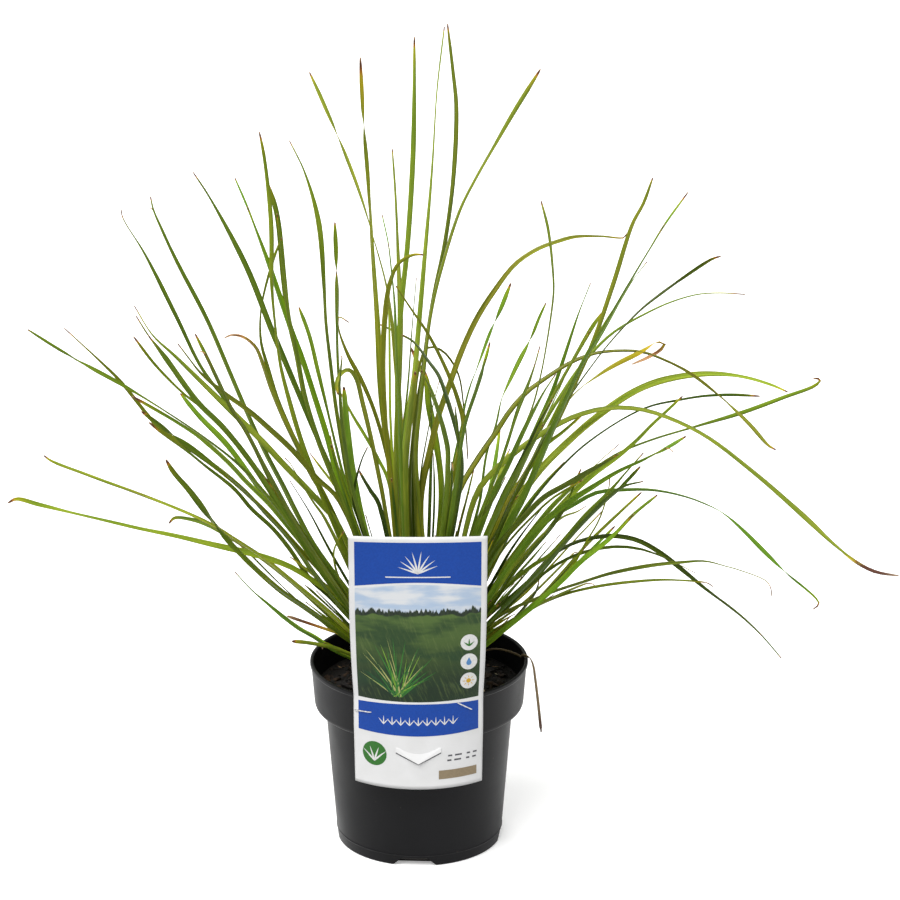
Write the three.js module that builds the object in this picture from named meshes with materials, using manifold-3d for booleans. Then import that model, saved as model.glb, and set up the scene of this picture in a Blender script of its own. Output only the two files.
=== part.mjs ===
// Potted lomandra: a clump of strap-leaved shoots in a round nursery pot, with a card label stapled to it.
// Millimetres, +Z up. The origin is the middle of the pot's foot, on the table. The label is on the -Y side.
import * as THREE from "three";
import Module from "manifold-3d";
import { mergeVertices } from "three/addons/utils/BufferGeometryUtils.js";

// Pot
const rimRadius = 76.4;
const potHeight = 133;
const collarFoot = 100;
const collarFootRadius = 73.2;
const bodyTopRadius = 65.8;
const footRadius = 58;
const ridgeHeight = 8.2;
const wall = 2.2;
const floorTop = 2.4;
const floorRise = 5;
const notchWidth = 33;
const notchTopWidth = 17;
const notchHeight = 6.5;
const notchCount = 4;
const notchTurn = -3;
const drainRadius = 6;
const drainRing = 36;
const drainCount = 8;
const potSides = 40;

// Soil
const soilHeight = 114;
const gap = 0.3;
const soilSides = 36;

// Shoots
const shootCount = 12;
const crownInner = 10;
const crownOuter = 29;
const crownFoot = 97;
const crownTop = 128.4;
const crownTaper = 9;
const crownTopScale = 0.62;
const bladeThickness = 0.7;
const rootThickness = 1;
const rootWidth = 3.6;
const tipWidth = 1;
const bladeSegments = 7;
const bladeRoom = 0.4;
const farShorter = 0.85;

// Label
const labelWidth = 94;
const labelFoot = 67.5;
const labelTop = 253;
const labelThickness = 0.8;
const labelBack = 77;
const tabWidth = 31;
const tabTop = 98;
const tabPoint = 87;

// Staples
const stapleWire = 0.9;
const stapleReach = 7.5;

// Dead strand
const strandThickness = 0.7;
const strandSegments = 24;

// Each pair of numbers in a leaf's path is a place across and a height in the upright plane through the
// pot's axis, as seen from this point.
const viewPoint = { x: 21.7, y: -2638, z: 1220 };

// The leaves as read: how far behind (+) or before (-) the axis the tip is, the blade's width, its turns from
// facing that point at 35, 70 and 100 % of its length, and its path from the tip down.
const readings = [
  [-60, 4.5, [30, 80, 10], [
    -266, 375, -250, 364, -233, 353, -204, 336, -178, 319, -150, 299, -125, 278, -107, 257, -86, 228
  ]],
  [40, 4.6, [20, 40, 30], [
    -241, 376, -218, 353, -204, 338, -177, 303, -159, 290, -135, 271, -115, 252, -95, 230
  ]],
  [-30, 4.2, [30, 20, 40], [
    -196, 327, -167, 309, -149, 296, -131, 279, -119, 265, -103, 248, -90, 231, -76, 212
  ]],
  [-80, 5.6, [10, 20, 20], [
    -193, 392, -181, 371, -166, 356, -148, 337, -128, 316, -107, 294, -95, 280, -79, 262, -67, 248,
    -56, 234
  ]],
  [60, 5, [20, 30, 30], [
    -192, 385, -184, 371, -171, 352, -160, 335, -150, 321, -134, 304, -115, 278, -101, 255, -88, 233,
    -72, 205
  ]],
  [-20, 5, [20, 40, 50], [
    -194, 370, -180, 350, -161, 329, -149, 319, -131, 300, -119, 284, -103, 262, -90, 243, -76, 218,
    -62, 195
  ]],
  [120, 4.4, [30, 40, 30], [
    -163, 329, -150, 312, -132, 292, -109, 258, -95, 238
  ]],
  [-110, 5, [15, 30, 40], [
    -164, 365, -157, 355, -149, 344, -134, 330, -117, 317, -102, 303, -87, 288, -71, 268, -54, 249
  ]],
  [150, 4, [30, 40, 50], [
    -152, 372, -145, 357, -138, 341, -127, 316, -119, 303, -107, 278, -97, 258, -84, 232
  ]],
  [30, 4.4, [30, 40, 50], [
    -200, 460, -199, 454, -185, 429, -164, 383, -148, 347, -128, 318, -117, 298, -101, 262, -88, 238
  ]],
  [-50, 4.4, [20, 40, 60], [
    -180, 469, -178, 459, -163, 423, -143, 381, -127, 340, -116, 312, -106, 288, -94, 263, -84, 241,
    -72, 217
  ]],
  [-30, 4.6, [20, 30, 50], [
    -151, 486, -140, 468, -116, 419, -100, 375, -91, 352, -81, 326, -72, 302, -61, 275, -51, 249
  ]],
  [60, 5, [20, 30, 50], [
    -123, 482, -115, 462, -101, 421, -87, 376, -79, 353, -71, 326, -63, 298, -56, 268, -50, 246
  ]],
  [-70, 5.2, [10, 40, 50], [
    -106, 514, -103, 497, -99, 451, -99, 406, -97, 377, -94, 350, -88, 323, -80, 293, -70, 264, -61, 240
  ]],
  [100, 4, [30, 40, 50], [
    -101, 479, -95, 457, -91, 412, -88, 383, -83, 358, -77, 324, -68, 293, -59, 268
  ]],
  [-20, 5.2, [15, 30, 60], [
    -92, 440, -96, 430, -103, 407, -107, 386, -107, 366, -103, 349, -97, 326, -86, 298, -74, 270, -62, 248
  ]],
  [20, 4.4, [20, 30, 60], [
    -132, 369, -127, 371, -120, 370, -114, 366, -110, 361, -106, 350, -101, 334, -93, 313, -85, 295,
    -74, 271, -64, 252
  ]],
  [80, 4, [30, 50, 70], [
    -86, 508, -76, 486, -67, 451, -64, 406, -63, 380, -60, 349, -57, 321, -53, 293, -48, 262
  ]],
  [160, 3.2, [30, 50, 60], [
    -56, 451, -55, 417, -55, 395, -55, 362, -54, 336, -51, 300, -46, 262
  ]],
  [200, 4.4, [20, 30, 30], [
    -81, 391, -74, 370, -69, 347, -63, 319, -57, 291, -50, 262
  ]],
  [-60, 3.6, [20, 60, 70], [
    -47, 380, -54, 384, -54, 375, -48, 357, -39, 339, -30, 316, -23, 290, -18, 262
  ]],
  [-120, 4.6, [15, 30, 20], [
    -55, 328, -56, 336, -53, 343, -48, 346, -43, 341, -38, 321, -33, 298, -28, 272, -24, 249
  ]],
  [180, 2.8, [30, 40, 50], [
    -53, 329, -45, 313, -37, 299, -28, 282, -20, 262
  ]],
  [40, 5.6, [10, 30, 40], [
    -72, 555, -63, 534, -42, 480, -28, 432, -22, 408, -19, 389, -16, 357, -13, 320, -12, 280, -12, 250
  ]],
  [-50, 5.2, [10, 30, 50], [
    -38, 565, -36, 520, -33, 476, -31, 434, -28, 383, -27, 357, -25, 323, -21, 288, -18, 253
  ]],
  [90, 3.8, [30, 50, 70], [
    -17, 502, -15, 470, -13, 417, -12, 385, -13, 340, -15, 297, -15, 253
  ]],
  [130, 3.6, [30, 50, 70], [
    -24, 456, -20, 436, -18, 417, -16, 394, -15, 357, -13, 314, -12, 270
  ]],
  [-30, 4.4, [30, 50, 60], [
    -2, 579, -2, 553, -3, 498, -7, 434, -11, 395, -14, 350, -14, 300, -12, 255
  ]],
  [-70, 5, [10, 40, 60], [
    18, 586, 13, 542, 9, 481, 5, 434, 0, 375, -3, 340, -7, 314, -10, 288, -11, 253
  ]],
  [50, 5.6, [20, 20, 40], [
    20, 588, 24, 553, 26, 531, 24, 481, 18, 434, 12, 405, 7, 375, 3, 344, -1, 318, -4, 290, -6, 250
  ]],
  [-20, 4.2, [20, 50, 70], [
    82, 557, 64, 527, 50, 502, 38, 480, 28, 459, 14, 412, 8, 384, 4, 350, 1, 320, -2, 285
  ]],
  [-90, 4, [30, 40, 60], [
    4, 428, -3, 428, -13, 422, -19, 408, -22, 389, -24, 350, -22, 300, -18, 255
  ]],
  [-130, 4.6, [20, 30, 60], [
    -15, 406, -5, 390, 6, 373, 17, 351, 26, 328, 31, 308, 30, 298, 26, 281, 21, 255
  ]],
  [110, 2.6, [30, 40, 60], [
    34, 281, 33, 297, 31, 320, 27, 344, 16, 360, 6, 362, 0, 345, -3, 310, -4, 265
  ]],
  [-90, 5.6, [10, 50, 60], [
    141, 443, 139, 440, 134, 440, 125, 441, 106, 441, 95, 438, 80, 432, 65, 421, 52, 403, 40, 383, 29, 358,
    22, 338, 14, 314, 8, 288, 1, 248
  ]],
  [140, 4.4, [20, 40, 40], [
    63, 408, 56, 389, 50, 375, 42, 352, 35, 332, 31, 314, 30, 305, 26, 286, 20, 250
  ]],
  [190, 3.6, [30, 40, 40], [
    49, 366, 46, 354, 40, 333, 33, 311, 30, 297, 27, 275, 24, 252
  ]],
  [90, 5, [15, 40, 75], [
    87, 394, 83, 385, 78, 372, 65, 344, 57, 325, 53, 306, 47, 287, 44, 266, 42, 250
  ]],
  [170, 3.6, [30, 50, 60], [
    83, 363, 80, 351, 76, 338, 68, 316, 62, 295, 56, 276, 48, 255
  ]],
  [-40, 4.2, [30, 50, 50], [
    83, 466, 88, 446, 92, 410, 92, 399, 87, 360, 83, 338, 78, 318, 70, 298, 60, 275, 50, 255
  ]],
  [150, 4.4, [20, 30, 60], [
    94, 343, 86, 330, 78, 314, 69, 294, 61, 275, 51, 253
  ]],
  [110, 4.2, [20, 40, 80], [
    117, 408, 109, 386, 105, 373, 99, 353, 92, 331, 83, 309, 74, 288, 63, 262, 54, 240
  ]],
  [60, 4.6, [20, 40, 50], [
    125, 387, 117, 374, 108, 357, 99, 340, 89, 320, 78, 296, 66, 268, 56, 245
  ]],
  [-60, 4.8, [10, 30, 40], [
    158, 482, 152, 464, 145, 450, 133, 409, 119, 365, 108, 338, 97, 312, 85, 286, 77, 262, 66, 238
  ]],
  [30, 5.6, [10, 60, 70], [
    182, 472, 167, 450, 155, 429, 144, 409, 129, 381, 112, 350, 103, 329, 92, 303, 82, 277, 72, 252,
    62, 232
  ]],
  [120, 3.8, [30, 50, 80], [
    155, 423, 147, 412, 138, 397, 126, 376, 113, 352, 98, 322, 84, 292, 70, 260
  ]],
  [-100, 4.4, [30, 80, 50], [
    205, 427, 199, 425, 180, 412, 164, 400, 150, 388, 130, 365, 117, 347, 103, 326, 90, 303, 78, 280,
    66, 254
  ]],
  [20, 4.6, [20, 40, 75], [
    222, 400, 205, 401, 190, 400, 173, 395, 156, 387, 132, 372, 112, 350, 98, 328, 84, 303, 72, 278,
    60, 250
  ]],
  [-70, 5, [20, 60, 40], [
    246, 288, 241, 291, 228, 306, 210, 324, 187, 343, 171, 352, 153, 359, 138, 360, 120, 358, 103, 351,
    88, 341, 74, 330, 63, 317, 52, 299, 41, 282, 26, 252
  ]],
  [-30, 6.2, [50, 40, 60], [
    146, 350, 157, 355, 166, 361, 168, 365, 163, 366, 152, 359, 135, 350, 124, 343, 105, 327, 95, 310,
    84, 292, 72, 270, 60, 248
  ]],
  [-40, 6, [10, 20, 50], [
    253, 330, 242, 335, 222, 341, 200, 343, 179, 341, 160, 336, 144, 328, 119, 309, 103, 294, 86, 276,
    73, 258, 63, 241
  ]],
  [60, 5.4, [70, 40, 30], [
    270, 340, 275, 339, 272, 335, 250, 326, 222, 315, 191, 305, 160, 295, 137, 285, 120, 273, 104, 258,
    88, 240, 72, 218
  ]],
  [100, 5, [40, 20, 30], [
    184, 298, 170, 289, 155, 281, 137, 272, 120, 261, 108, 253, 95, 243, 80, 228, 66, 208, 55, 190
  ]],
  [-10, 4.6, [30, 50, 50], [
    234, 327, 214, 328, 195, 327, 178, 324, 160, 320, 143, 312, 115, 292, 99, 276, 85, 259, 72, 240,
    60, 220
  ]],
  [30, 5.6, [30, 60, 40], [
    334, 195, 318, 198, 306, 204, 290, 217, 262, 244, 231, 272, 195, 300, 160, 316, 142, 319, 125, 318,
    108, 313, 94, 306, 80, 297, 66, 286, 51, 272, 39, 254
  ]],
  [-50, 5.6, [15, 75, 40], [
    275, 170, 279, 174, 277, 178, 256, 197, 243, 210, 213, 240, 195, 250, 177, 256, 160, 259, 142, 259,
    123, 257, 107, 248, 90, 237, 75, 220, 62, 202, 52, 184
  ]],
  [20, 4.6, [70, 30, 70], [
    254, 133, 240, 150, 225, 165, 198, 187, 183, 200, 167, 213, 151, 222, 134, 225, 118, 223, 104, 218,
    90, 208, 76, 192, 64, 176
  ]],
  [-60, 4.6, [40, 20, 75], [
    246, 180, 245, 186, 242, 191, 221, 200, 214, 202, 199, 206, 181, 205, 162, 203, 133, 197, 112, 190,
    95, 184, 79, 177, 62, 169, 48, 158
  ]],
  [70, 2.8, [40, 40, 60], [
    205, 187, 200, 190, 174, 192, 153, 191, 129, 188, 104, 182, 87, 175, 70, 165, 56, 154
  ]],
  [-20, 5, [20, 40, 70], [
    181, 327, 171, 317, 160, 306, 150, 295, 137, 283, 120, 270, 106, 256, 92, 240, 78, 222, 66, 205
  ]],
  [130, 5, [20, 30, 40], [
    148, 293, 138, 285, 118, 273, 102, 263, 86, 253, 73, 239, 60, 224, 50, 210
  ]],
  [150, 2.8, [40, 50, 60], [
    138, 292, 127, 282, 118, 273, 104, 260, 88, 243
  ]],
  [-80, 4.2, [30, 40, 40], [
    155, 286, 145, 274, 131, 257, 115, 240, 99, 220, 90, 210, 82, 205, 73, 198, 63, 189, 49, 174
  ]],
  [40, 4.4, [20, 40, 50], [
    153, 276, 138, 259, 128, 249, 112, 232, 99, 216, 87, 200, 78, 190, 62, 172, 48, 158
  ]],
  [110, 3.6, [40, 40, 40], [
    155, 265, 141, 261, 130, 252, 115, 236, 100, 218, 85, 200
  ]],
  [-30, 4.6, [10, 20, 40], [
    154, 257, 139, 242, 118, 220, 102, 200, 86, 181, 70, 165, 54, 151
  ]],
  [50, 4.6, [20, 20, 50], [
    165, 255, 149, 241, 133, 223, 113, 206, 100, 192, 86, 178, 68, 162, 52, 148
  ]],
  [100, 4, [30, 30, 40], [
    136, 232, 122, 217, 104, 198, 90, 184, 72, 167
  ]],
  [-60, 4.6, [40, 20, 60], [
    112, 274, 109, 267, 102, 248, 93, 233, 78, 214, 66, 198, 56, 181
  ]],
  [60, 4.4, [20, 20, 50], [
    113, 314, 99, 301, 87, 291, 75, 272, 61, 250
  ]],
  [80, 2.6, [40, 40, 60], [
    116, 247, 110, 243, 100, 239, 88, 228, 74, 212
  ]],
  [130, 2.8, [40, 40, 60], [
    127, 243, 112, 226, 100, 212, 88, 198, 74, 182
  ]],
  [20, 2.4, [40, 40, 60], [
    132, 268, 131, 258, 125, 237, 115, 218, 109, 206, 100, 194, 86, 178
  ]],
  [60, 3, [30, 40, 60], [
    84, 193, 82, 184, 77, 176, 64, 160
  ]],
  [-20, 2.6, [30, 30, 40], [
    64, 165, 60, 160, 52, 153
  ]],
  [30, 5, [10, 20, 30], [
    110, 267, 100, 255, 92, 246, 85, 237, 72, 218, 58, 196
  ]],
  [140, 3.6, [30, 30, 40], [
    63, 289, 60, 282, 57, 272, 52, 258, 46, 242
  ]],
  [200, 3.8, [30, 30, 40], [
    56, 305, 55, 295, 53, 280, 50, 262, 46, 245
  ]],
  [-110, 4.6, [20, 20, 30], [
    92, 325, 83, 308, 75, 290, 66, 270, 56, 248
  ]],
  [-140, 4.6, [20, 20, 30], [
    86, 307, 78, 292, 70, 276, 60, 256
  ]],
  [-150, 4.2, [20, 20, 30], [
    60, 268, 54, 256, 48, 246, 42, 238
  ]],
  [-120, 3.8, [20, 30, 30], [
    -92, 282, -89, 279, -80, 262, -73, 250, -64, 236
  ]],
  [120, 2.8, [30, 40, 50], [
    -75, 286, -65, 272, -58, 262, -52, 250
  ]],
  [-70, 4.2, [20, 30, 40], [
    -60, 292, -58, 283, -55, 272, -51, 258, -46, 240
  ]],
  [-90, 3.2, [20, 30, 40], [
    -41, 273, -38, 267, -33, 258, -27, 247
  ]],
  [-60, 2.6, [30, 40, 60], [
    -35, 290, -39, 281, -44, 262, -45, 250, -42, 238
  ]],
  [220, 3.2, [30, 40, 50], [
    -52, 355, -53, 345, -54, 330, -53, 310, -50, 285, -46, 260
  ]],
  [-40, 5, [10, 20, 30], [
    -51, 334, -50, 318, -49, 300, -47, 282, -44, 262, -41, 245
  ]],
  [-30, 4.4, [20, 60, 30], [
    -258, 284, -253, 280, -229, 270, -199, 258, -177, 249, -159, 241, -142, 232, -125, 220, -108, 208,
    -92, 194, -74, 178, -58, 163
  ]],
  [40, 5, [20, 30, 40], [
    -284, 249, -278, 252, -263, 248, -241, 242, -217, 236, -193, 230, -170, 225, -146, 219, -111, 210,
    -90, 202, -76, 193, -60, 181, -48, 170
  ]],
  [-60, 4.8, [20, 20, 40], [
    -174, 281, -169, 272, -158, 258, -138, 229, -125, 213, -112, 199, -95, 183, -80, 172, -62, 158,
    -50, 148
  ]],
  [90, 4.2, [30, 30, 40], [
    -173, 234, -169, 238, -158, 237, -146, 233, -122, 218, -110, 209, -95, 196, -80, 182, -66, 168
  ]],
  [-10, 4, [20, 30, 80], [
    -128, 198, -116, 184, -101, 170, -92, 162, -83, 155, -73, 149, -62, 141
  ]],
  [30, 3.8, [30, 30, 40], [
    -92, 165, -84, 162, -73, 158, -62, 154, -52, 150
  ]],
  [-25, 4.6, [30, 30, 20], [
    -89, 146, -79, 145, -68, 143, -57, 140
  ]],
  [60, 2.8, [30, 40, 60], [
    -128, 222, -117, 211, -106, 199, -95, 187, -86, 178, -77, 169, -64, 157
  ]],
  [-50, 3.6, [30, 40, 50], [
    -190, 316, -165, 296, -150, 284, -135, 272, -119, 257, -105, 240, -96, 230, -84, 214, -72, 196
  ]],
  [20, 4.6, [20, 30, 40], [
    -185, 308, -165, 292, -148, 277, -127, 259, -116, 245, -101, 230, -89, 214, -76, 193, -60, 177
  ]],
  [150, 4.6, [20, 30, 40], [
    -5, 362, 2, 346, 11, 325, 18, 299, 20, 288, 20, 275, 19, 253
  ]],
  [90, 6.2, [20, 20, 40], [
    4, 346, 6, 337, 7, 323, 11, 301, 15, 275, 16, 253
  ]],
  [180, 4.2, [30, 40, 70], [
    -27, 379, -11, 371, -3, 366, 8, 351, 14, 342, 21, 321, 27, 299, 30, 278, 28, 255
  ]],
  [60, 3.6, [30, 40, 40], [
    8, 332, 9, 310, 9, 288, 8, 253
  ]],
  [-110, 3.8, [20, 30, 40], [
    -2, 345, -3, 336, -4, 326, -7, 300, -9, 270
  ]],
  [-60, 3.2, [20, 30, 40], [
    31, 277, 30, 268, 27, 255, 22, 240
  ]],
  [-60, 2.4, [30, 40, 60], [
    -52, 228, -57, 219, -59, 212, -57, 198, -50, 182, -44, 170
  ]],
].map(([depth, width, turns, path]) => ({ depth, width, turns, path }));

const wasm = await Module();
wasm.setup();
const { Vector3 } = THREE;
const upward = new Vector3(0, 0, 1);
const degrees = Math.PI / 180;

// The solid of a closed geometry, and the geometry of a solid.
function solid(geometry) {
  const bare = geometry.clone();
  for (const name of Object.keys(bare.attributes)) if (name !== "position") bare.deleteAttribute(name);
  const merged = mergeVertices(bare, 1e-4);
  return new wasm.Manifold(new wasm.Mesh({
    numProp: 3,
    vertProperties: new Float32Array(merged.attributes.position.array),
    triVerts: new Uint32Array(merged.index.array),
  }));
}

function geometryOf(body) {
  const mesh = body.getMesh();
  const geometry = new THREE.BufferGeometry();
  geometry.setAttribute("position", new THREE.BufferAttribute(new Float32Array(mesh.vertProperties), 3));
  geometry.setIndex(new THREE.BufferAttribute(new Uint32Array(mesh.triVerts), 1));
  geometry.computeVertexNormals();
  return geometry;
}

// A body through rings with the same number of points, each anticlockwise about the way the body goes.
function loft(rings) {
  const sides = rings[0].length;
  const places = rings.flat().flatMap((p) => [p.x, p.y, p.z]);
  const faces = [];
  for (let i = 0; i + 1 < rings.length; i++) {
    for (let j = 0; j < sides; j++) {
      const a = i * sides + j;
      const b = i * sides + ((j + 1) % sides);
      faces.push(a, b, b + sides, a, b + sides, a + sides);
    }
  }
  const last = (rings.length - 1) * sides;
  for (let j = 1; j + 1 < sides; j++) faces.push(0, j + 1, j, last, last + j, last + j + 1);
  const geometry = new THREE.BufferGeometry();
  geometry.setAttribute("position", new THREE.Float32BufferAttribute(places, 3));
  geometry.setIndex(faces);
  return solid(geometry);
}

function lathe(profile, segments) {
  const geometry = new THREE.LatheGeometry(profile.map(([r, z]) => new THREE.Vector2(r, z)), segments);
  geometry.rotateX(Math.PI / 2);
  return solid(geometry);
}

function drum(radius, foot, top, x, y) {
  const geometry = new THREE.CylinderGeometry(radius, radius, top - foot, 12);
  geometry.rotateX(Math.PI / 2).translate(x, y, (foot + top) / 2);
  return solid(geometry);
}

const clamp = (value, low, high) => Math.min(high, Math.max(low, value));
const mix = (a, b, t) => a + (b - a) * t;

// Leaves

// A reading pushed back along its line of sight to a depth.
function place(across, height, depth) {
  const k = 1 - depth / viewPoint.y;
  const x = viewPoint.x + (across - viewPoint.x) * k;
  const z = viewPoint.z + (height - viewPoint.z) * k;
  return new Vector3(x, depth, z);
}

// The points of a reading from the shoot's crown up to the tip, at the depth of its tip.
function spread({ path }, depth, cut) {
  const pairs = [];
  for (let i = path.length - 2; i >= 0; i -= 2) pairs.push([path[i], path[i + 1]]);
  const kept = Math.max(3, Math.ceil(pairs.length * cut));
  const tipAcross = pairs[pairs.length - 1][0];
  let length = Math.hypot(pairs[0][0], pairs[0][1] - soilHeight);
  const reached = [length];
  for (let i = 1; i < pairs.length; i++) {
    length += Math.hypot(pairs[i][0] - pairs[i - 1][0], pairs[i][1] - pairs[i - 1][1]);
    reached.push(length);
  }
  const sideways = clamp((Math.abs(tipAcross) - 30) / 70, 0, 1);
  return pairs.slice(0, kept).map(([across, height], i) => {
    const upright = (reached[i] / length) ** 1.5;
    const share = sideways * (across / (tipAcross || 1)) + (1 - sideways) * upright;
    return place(across, height, depth * share);
  });
}

const sectorWidth = 360 / shootCount;
const sectorAngle = (sector) => (sector + 0.5) * sectorWidth * degrees;

function sectorOf(points) {
  let x = 0;
  let y = 0;
  for (const p of points) {
    x += p.x;
    y += p.y;
  }
  const angle = (Math.atan2(y, x) / degrees + 360) % 360;
  return Math.floor(angle / sectorWidth) % shootCount;
}

// How much a point needs a station between two others: how far it bows off, and a little for distance.
function bow(point, a, b) {
  const line = b.clone().sub(a);
  const along = point.clone().sub(a);
  const off = along.clone().addScaledVector(line, -along.dot(line) / line.lengthSq()).length();
  return off + 0.03 * Math.min(point.distanceTo(a), point.distanceTo(b));
}

// The middle line of a leaf: up out of its shoot's crown at a radius from the axis, then through the
// reading's points, cut down to a few stations where it bends most.
function middleLine(points, sector, radius) {
  const angle = sectorAngle(sector);
  const foot = new Vector3(radius * Math.cos(angle), radius * Math.sin(angle), crownFoot + 4);
  const neck = foot.clone().setZ(soilHeight + 7);
  const curve = new THREE.CatmullRomCurve3([foot, neck, ...points], false, "centripetal");
  const fine = curve.getPoints(8 * (points.length + 1));
  const stations = [0, fine.length - 1];
  while (stations.length < bladeSegments + 1) {
    let worst = -1;
    let at = 0;
    for (let s = 0; s + 1 < stations.length; s++) {
      for (let i = stations[s] + 1; i < stations[s + 1]; i++) {
        const need = bow(fine[i], fine[stations[s]], fine[stations[s + 1]]);
        if (need > worst) {
          worst = need;
          at = i;
        }
      }
    }
    stations.push(at);
    stations.sort((p, q) => p - q);
  }
  return stations.map((i) => fine[i]);
}

// How far out a leaf leans: the radius that it would have a hand's breadth over the soil.
function lean(points) {
  const first = points[0];
  return (Math.hypot(first.x, first.y) / Math.max(8, first.z - soilHeight)) * 90;
}

// The least distance between two straight pieces.
function apart(p, q, r, s) {
  const u = q.clone().sub(p);
  const v = s.clone().sub(r);
  const w = p.clone().sub(r);
  const a = u.dot(u);
  const b = u.dot(v);
  const c = v.dot(v);
  const d = u.dot(w);
  const e = v.dot(w);
  const area = a * c - b * b;
  let m = area > 1e-9 ? clamp((b * e - c * d) / area, 0, 1) : 0;
  const n = clamp((b * m + e) / c, 0, 1);
  m = clamp((b * n - d) / a, 0, 1);
  return w.addScaledVector(u, m).addScaledVector(v, -n).length();
}

// The space between two stretches of one axis.
const beside = (a, b, c, d) => Math.max(Math.min(a, b) - Math.max(c, d), Math.min(c, d) - Math.max(a, b));

// How much room two leaves leave each other from a station on, less what their blades need.
function room(one, other, from) {
  const need = (one.width + other.width) / 2 + bladeRoom;
  let least = Infinity;
  for (let i = from; i + 1 < one.line.length; i++) {
    for (let j = from; j + 1 < other.line.length; j++) {
      const [a, b, c, d] = [one.line[i], one.line[i + 1], other.line[j], other.line[j + 1]];
      if (["x", "z"].some((axis) => beside(a[axis], b[axis], c[axis], d[axis]) > need)) continue;
      least = Math.min(least, apart(a, b, c, d) - need);
    }
  }
  return least;
}

// Leaves stay above the rim and behind or over the label.
function clearOfPot(leaf) {
  for (let i = 1; i + 1 < leaf.line.length; i++) {
    for (let t = 0; t <= 1; t += 0.1) {
      const p = leaf.line[i].clone().lerp(leaf.line[i + 1], t);
      const r = Math.hypot(p.x, p.y);
      if (r > 66 && r < rimRadius + 5 && p.z < potHeight + 4) return false;
      const byLabel = Math.abs(p.x) < labelWidth / 2 + 4 && p.y < -70 && p.y > -92;
      if (byLabel && p.z < labelTop + 5) return false;
      if (r < 66 && p.z < soilHeight + 3 && i > 1) return false;
    }
  }
  return true;
}

const leaves = [];

// A leaf goes in at the depth nearest its own at which it meets no leaf of another shoot, and best none of
// its own shoot above the crown.
function add(reading, depth, cut) {
  for (const own of [true, false]) {
    for (let swing = 0; swing <= (own ? 40 : 110); swing += 10) {
      for (const sign of swing ? [1, -1] : [1]) {
        const points = spread(reading, depth + sign * swing, cut);
        const home = sectorOf(points);
        for (const turn of [0, 1, -1]) {
          const sector = (home + turn + shootCount) % shootCount;
          const radius = mix(crownInner + 3, crownOuter - 3, clamp(lean(points) / 120, 0, 1));
          const leaf = { ...reading, sector, points, line: middleLine(points, sector, radius) };
          if (!clearOfPot(leaf)) continue;
          const meets = leaves.some((other) => {
            if (other.sector === sector) return own && room(leaf, other, 3) < 0;
            return room(leaf, other, 1) < 0;
          });
          if (!meets) return leaves.push(leaf);
        }
      }
    }
  }
  return 0;
}

for (const reading of readings) add(reading, reading.depth, 1);

// The readings show only one side. Others like them grow on the far side of the clump: a shorter copy of
// each second leaf leans the other way.
readings.forEach((reading, i) => {
  const far = reading.depth > 0 ? -0.8 * reading.depth - 40 : -0.8 * reading.depth + 70;
  if (i % 2 === 0 && reading.path.length > 10) add(reading, far, farShorter);
});

// In each shoot the leaves stand one behind the other, the steepest nearest the axis.
for (let sector = 0; sector < shootCount; sector++) {
  const own = leaves.filter((leaf) => leaf.sector === sector).sort((a, b) => lean(a.points) - lean(b.points));
  own.forEach((leaf, rank) => {
    const radius = mix(crownInner + 2.5, crownOuter - 2.5, (rank + 0.5) / own.length);
    leaf.line = middleLine(leaf.points, sector, radius);
  });
}

// How wide a blade is at a share of its length: narrow at its root, then even, then drawn to a point.
function widthAt(share, width) {
  const full = mix(Math.min(rootWidth, width), width, clamp(share / 0.3, 0, 1));
  return Math.max(tipWidth, full * clamp((1 - share) / 0.22, 0, 1) ** 0.7);
}

// The turn of a blade from facing the camera, in degrees, at a share of its length.
function turnAt(turns, order, share, rootTurn) {
  const [early, late, end] = turns.map((turn) => (order % 2 ? turn : -turn));
  if (share < 0.35) return mix(rootTurn + Math.round((early - rootTurn) / 180) * 180, early, share / 0.35);
  return share < 0.7 ? mix(early, late, (share - 0.35) / 0.35) : mix(late, end, (share - 0.7) / 0.3);
}

// A leaf as a thin four-sided strap along its middle line. It stands crosswise in its shoot at the root.
function blade(leaf, order) {
  const { line, turns, sector } = leaf;
  const eye = new Vector3(viewPoint.x, viewPoint.y, viewPoint.z);
  const crosswise = new Vector3(-Math.sin(sectorAngle(sector)), Math.cos(sectorAngle(sector)), 0);
  const reached = [0];
  for (let i = 1; i < line.length; i++) reached.push(reached[i - 1] + line[i].distanceTo(line[i - 1]));
  const length = reached[reached.length - 1];
  const rings = line.map((point, i) => {
    const share = reached[i] / length;
    const along = line[Math.min(i + 1, line.length - 1)].clone().sub(line[Math.max(i - 1, 0)]).normalize();
    const facing = along.clone().cross(point.clone().sub(eye)).normalize();
    const away = along.clone().cross(facing);
    const rootTurn = Math.atan2(crosswise.dot(away), crosswise.dot(facing)) / degrees;
    const turn = turnAt(turns, order, share, rootTurn) * degrees;
    const across = facing.clone().multiplyScalar(Math.cos(turn)).addScaledVector(away, Math.sin(turn));
    const out = along.clone().cross(across);
    const half = widthAt(share, leaf.width) / 2;
    const thick = mix(rootThickness, bladeThickness, clamp(share / 0.2, 0, 1)) / 2;
    return [[1, 1], [-1, 1], [-1, -1], [1, -1]].map(([a, b]) =>
      point.clone().addScaledVector(across, a * half).addScaledVector(out, b * thick));
  });
  return strap(rings);
}

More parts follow.
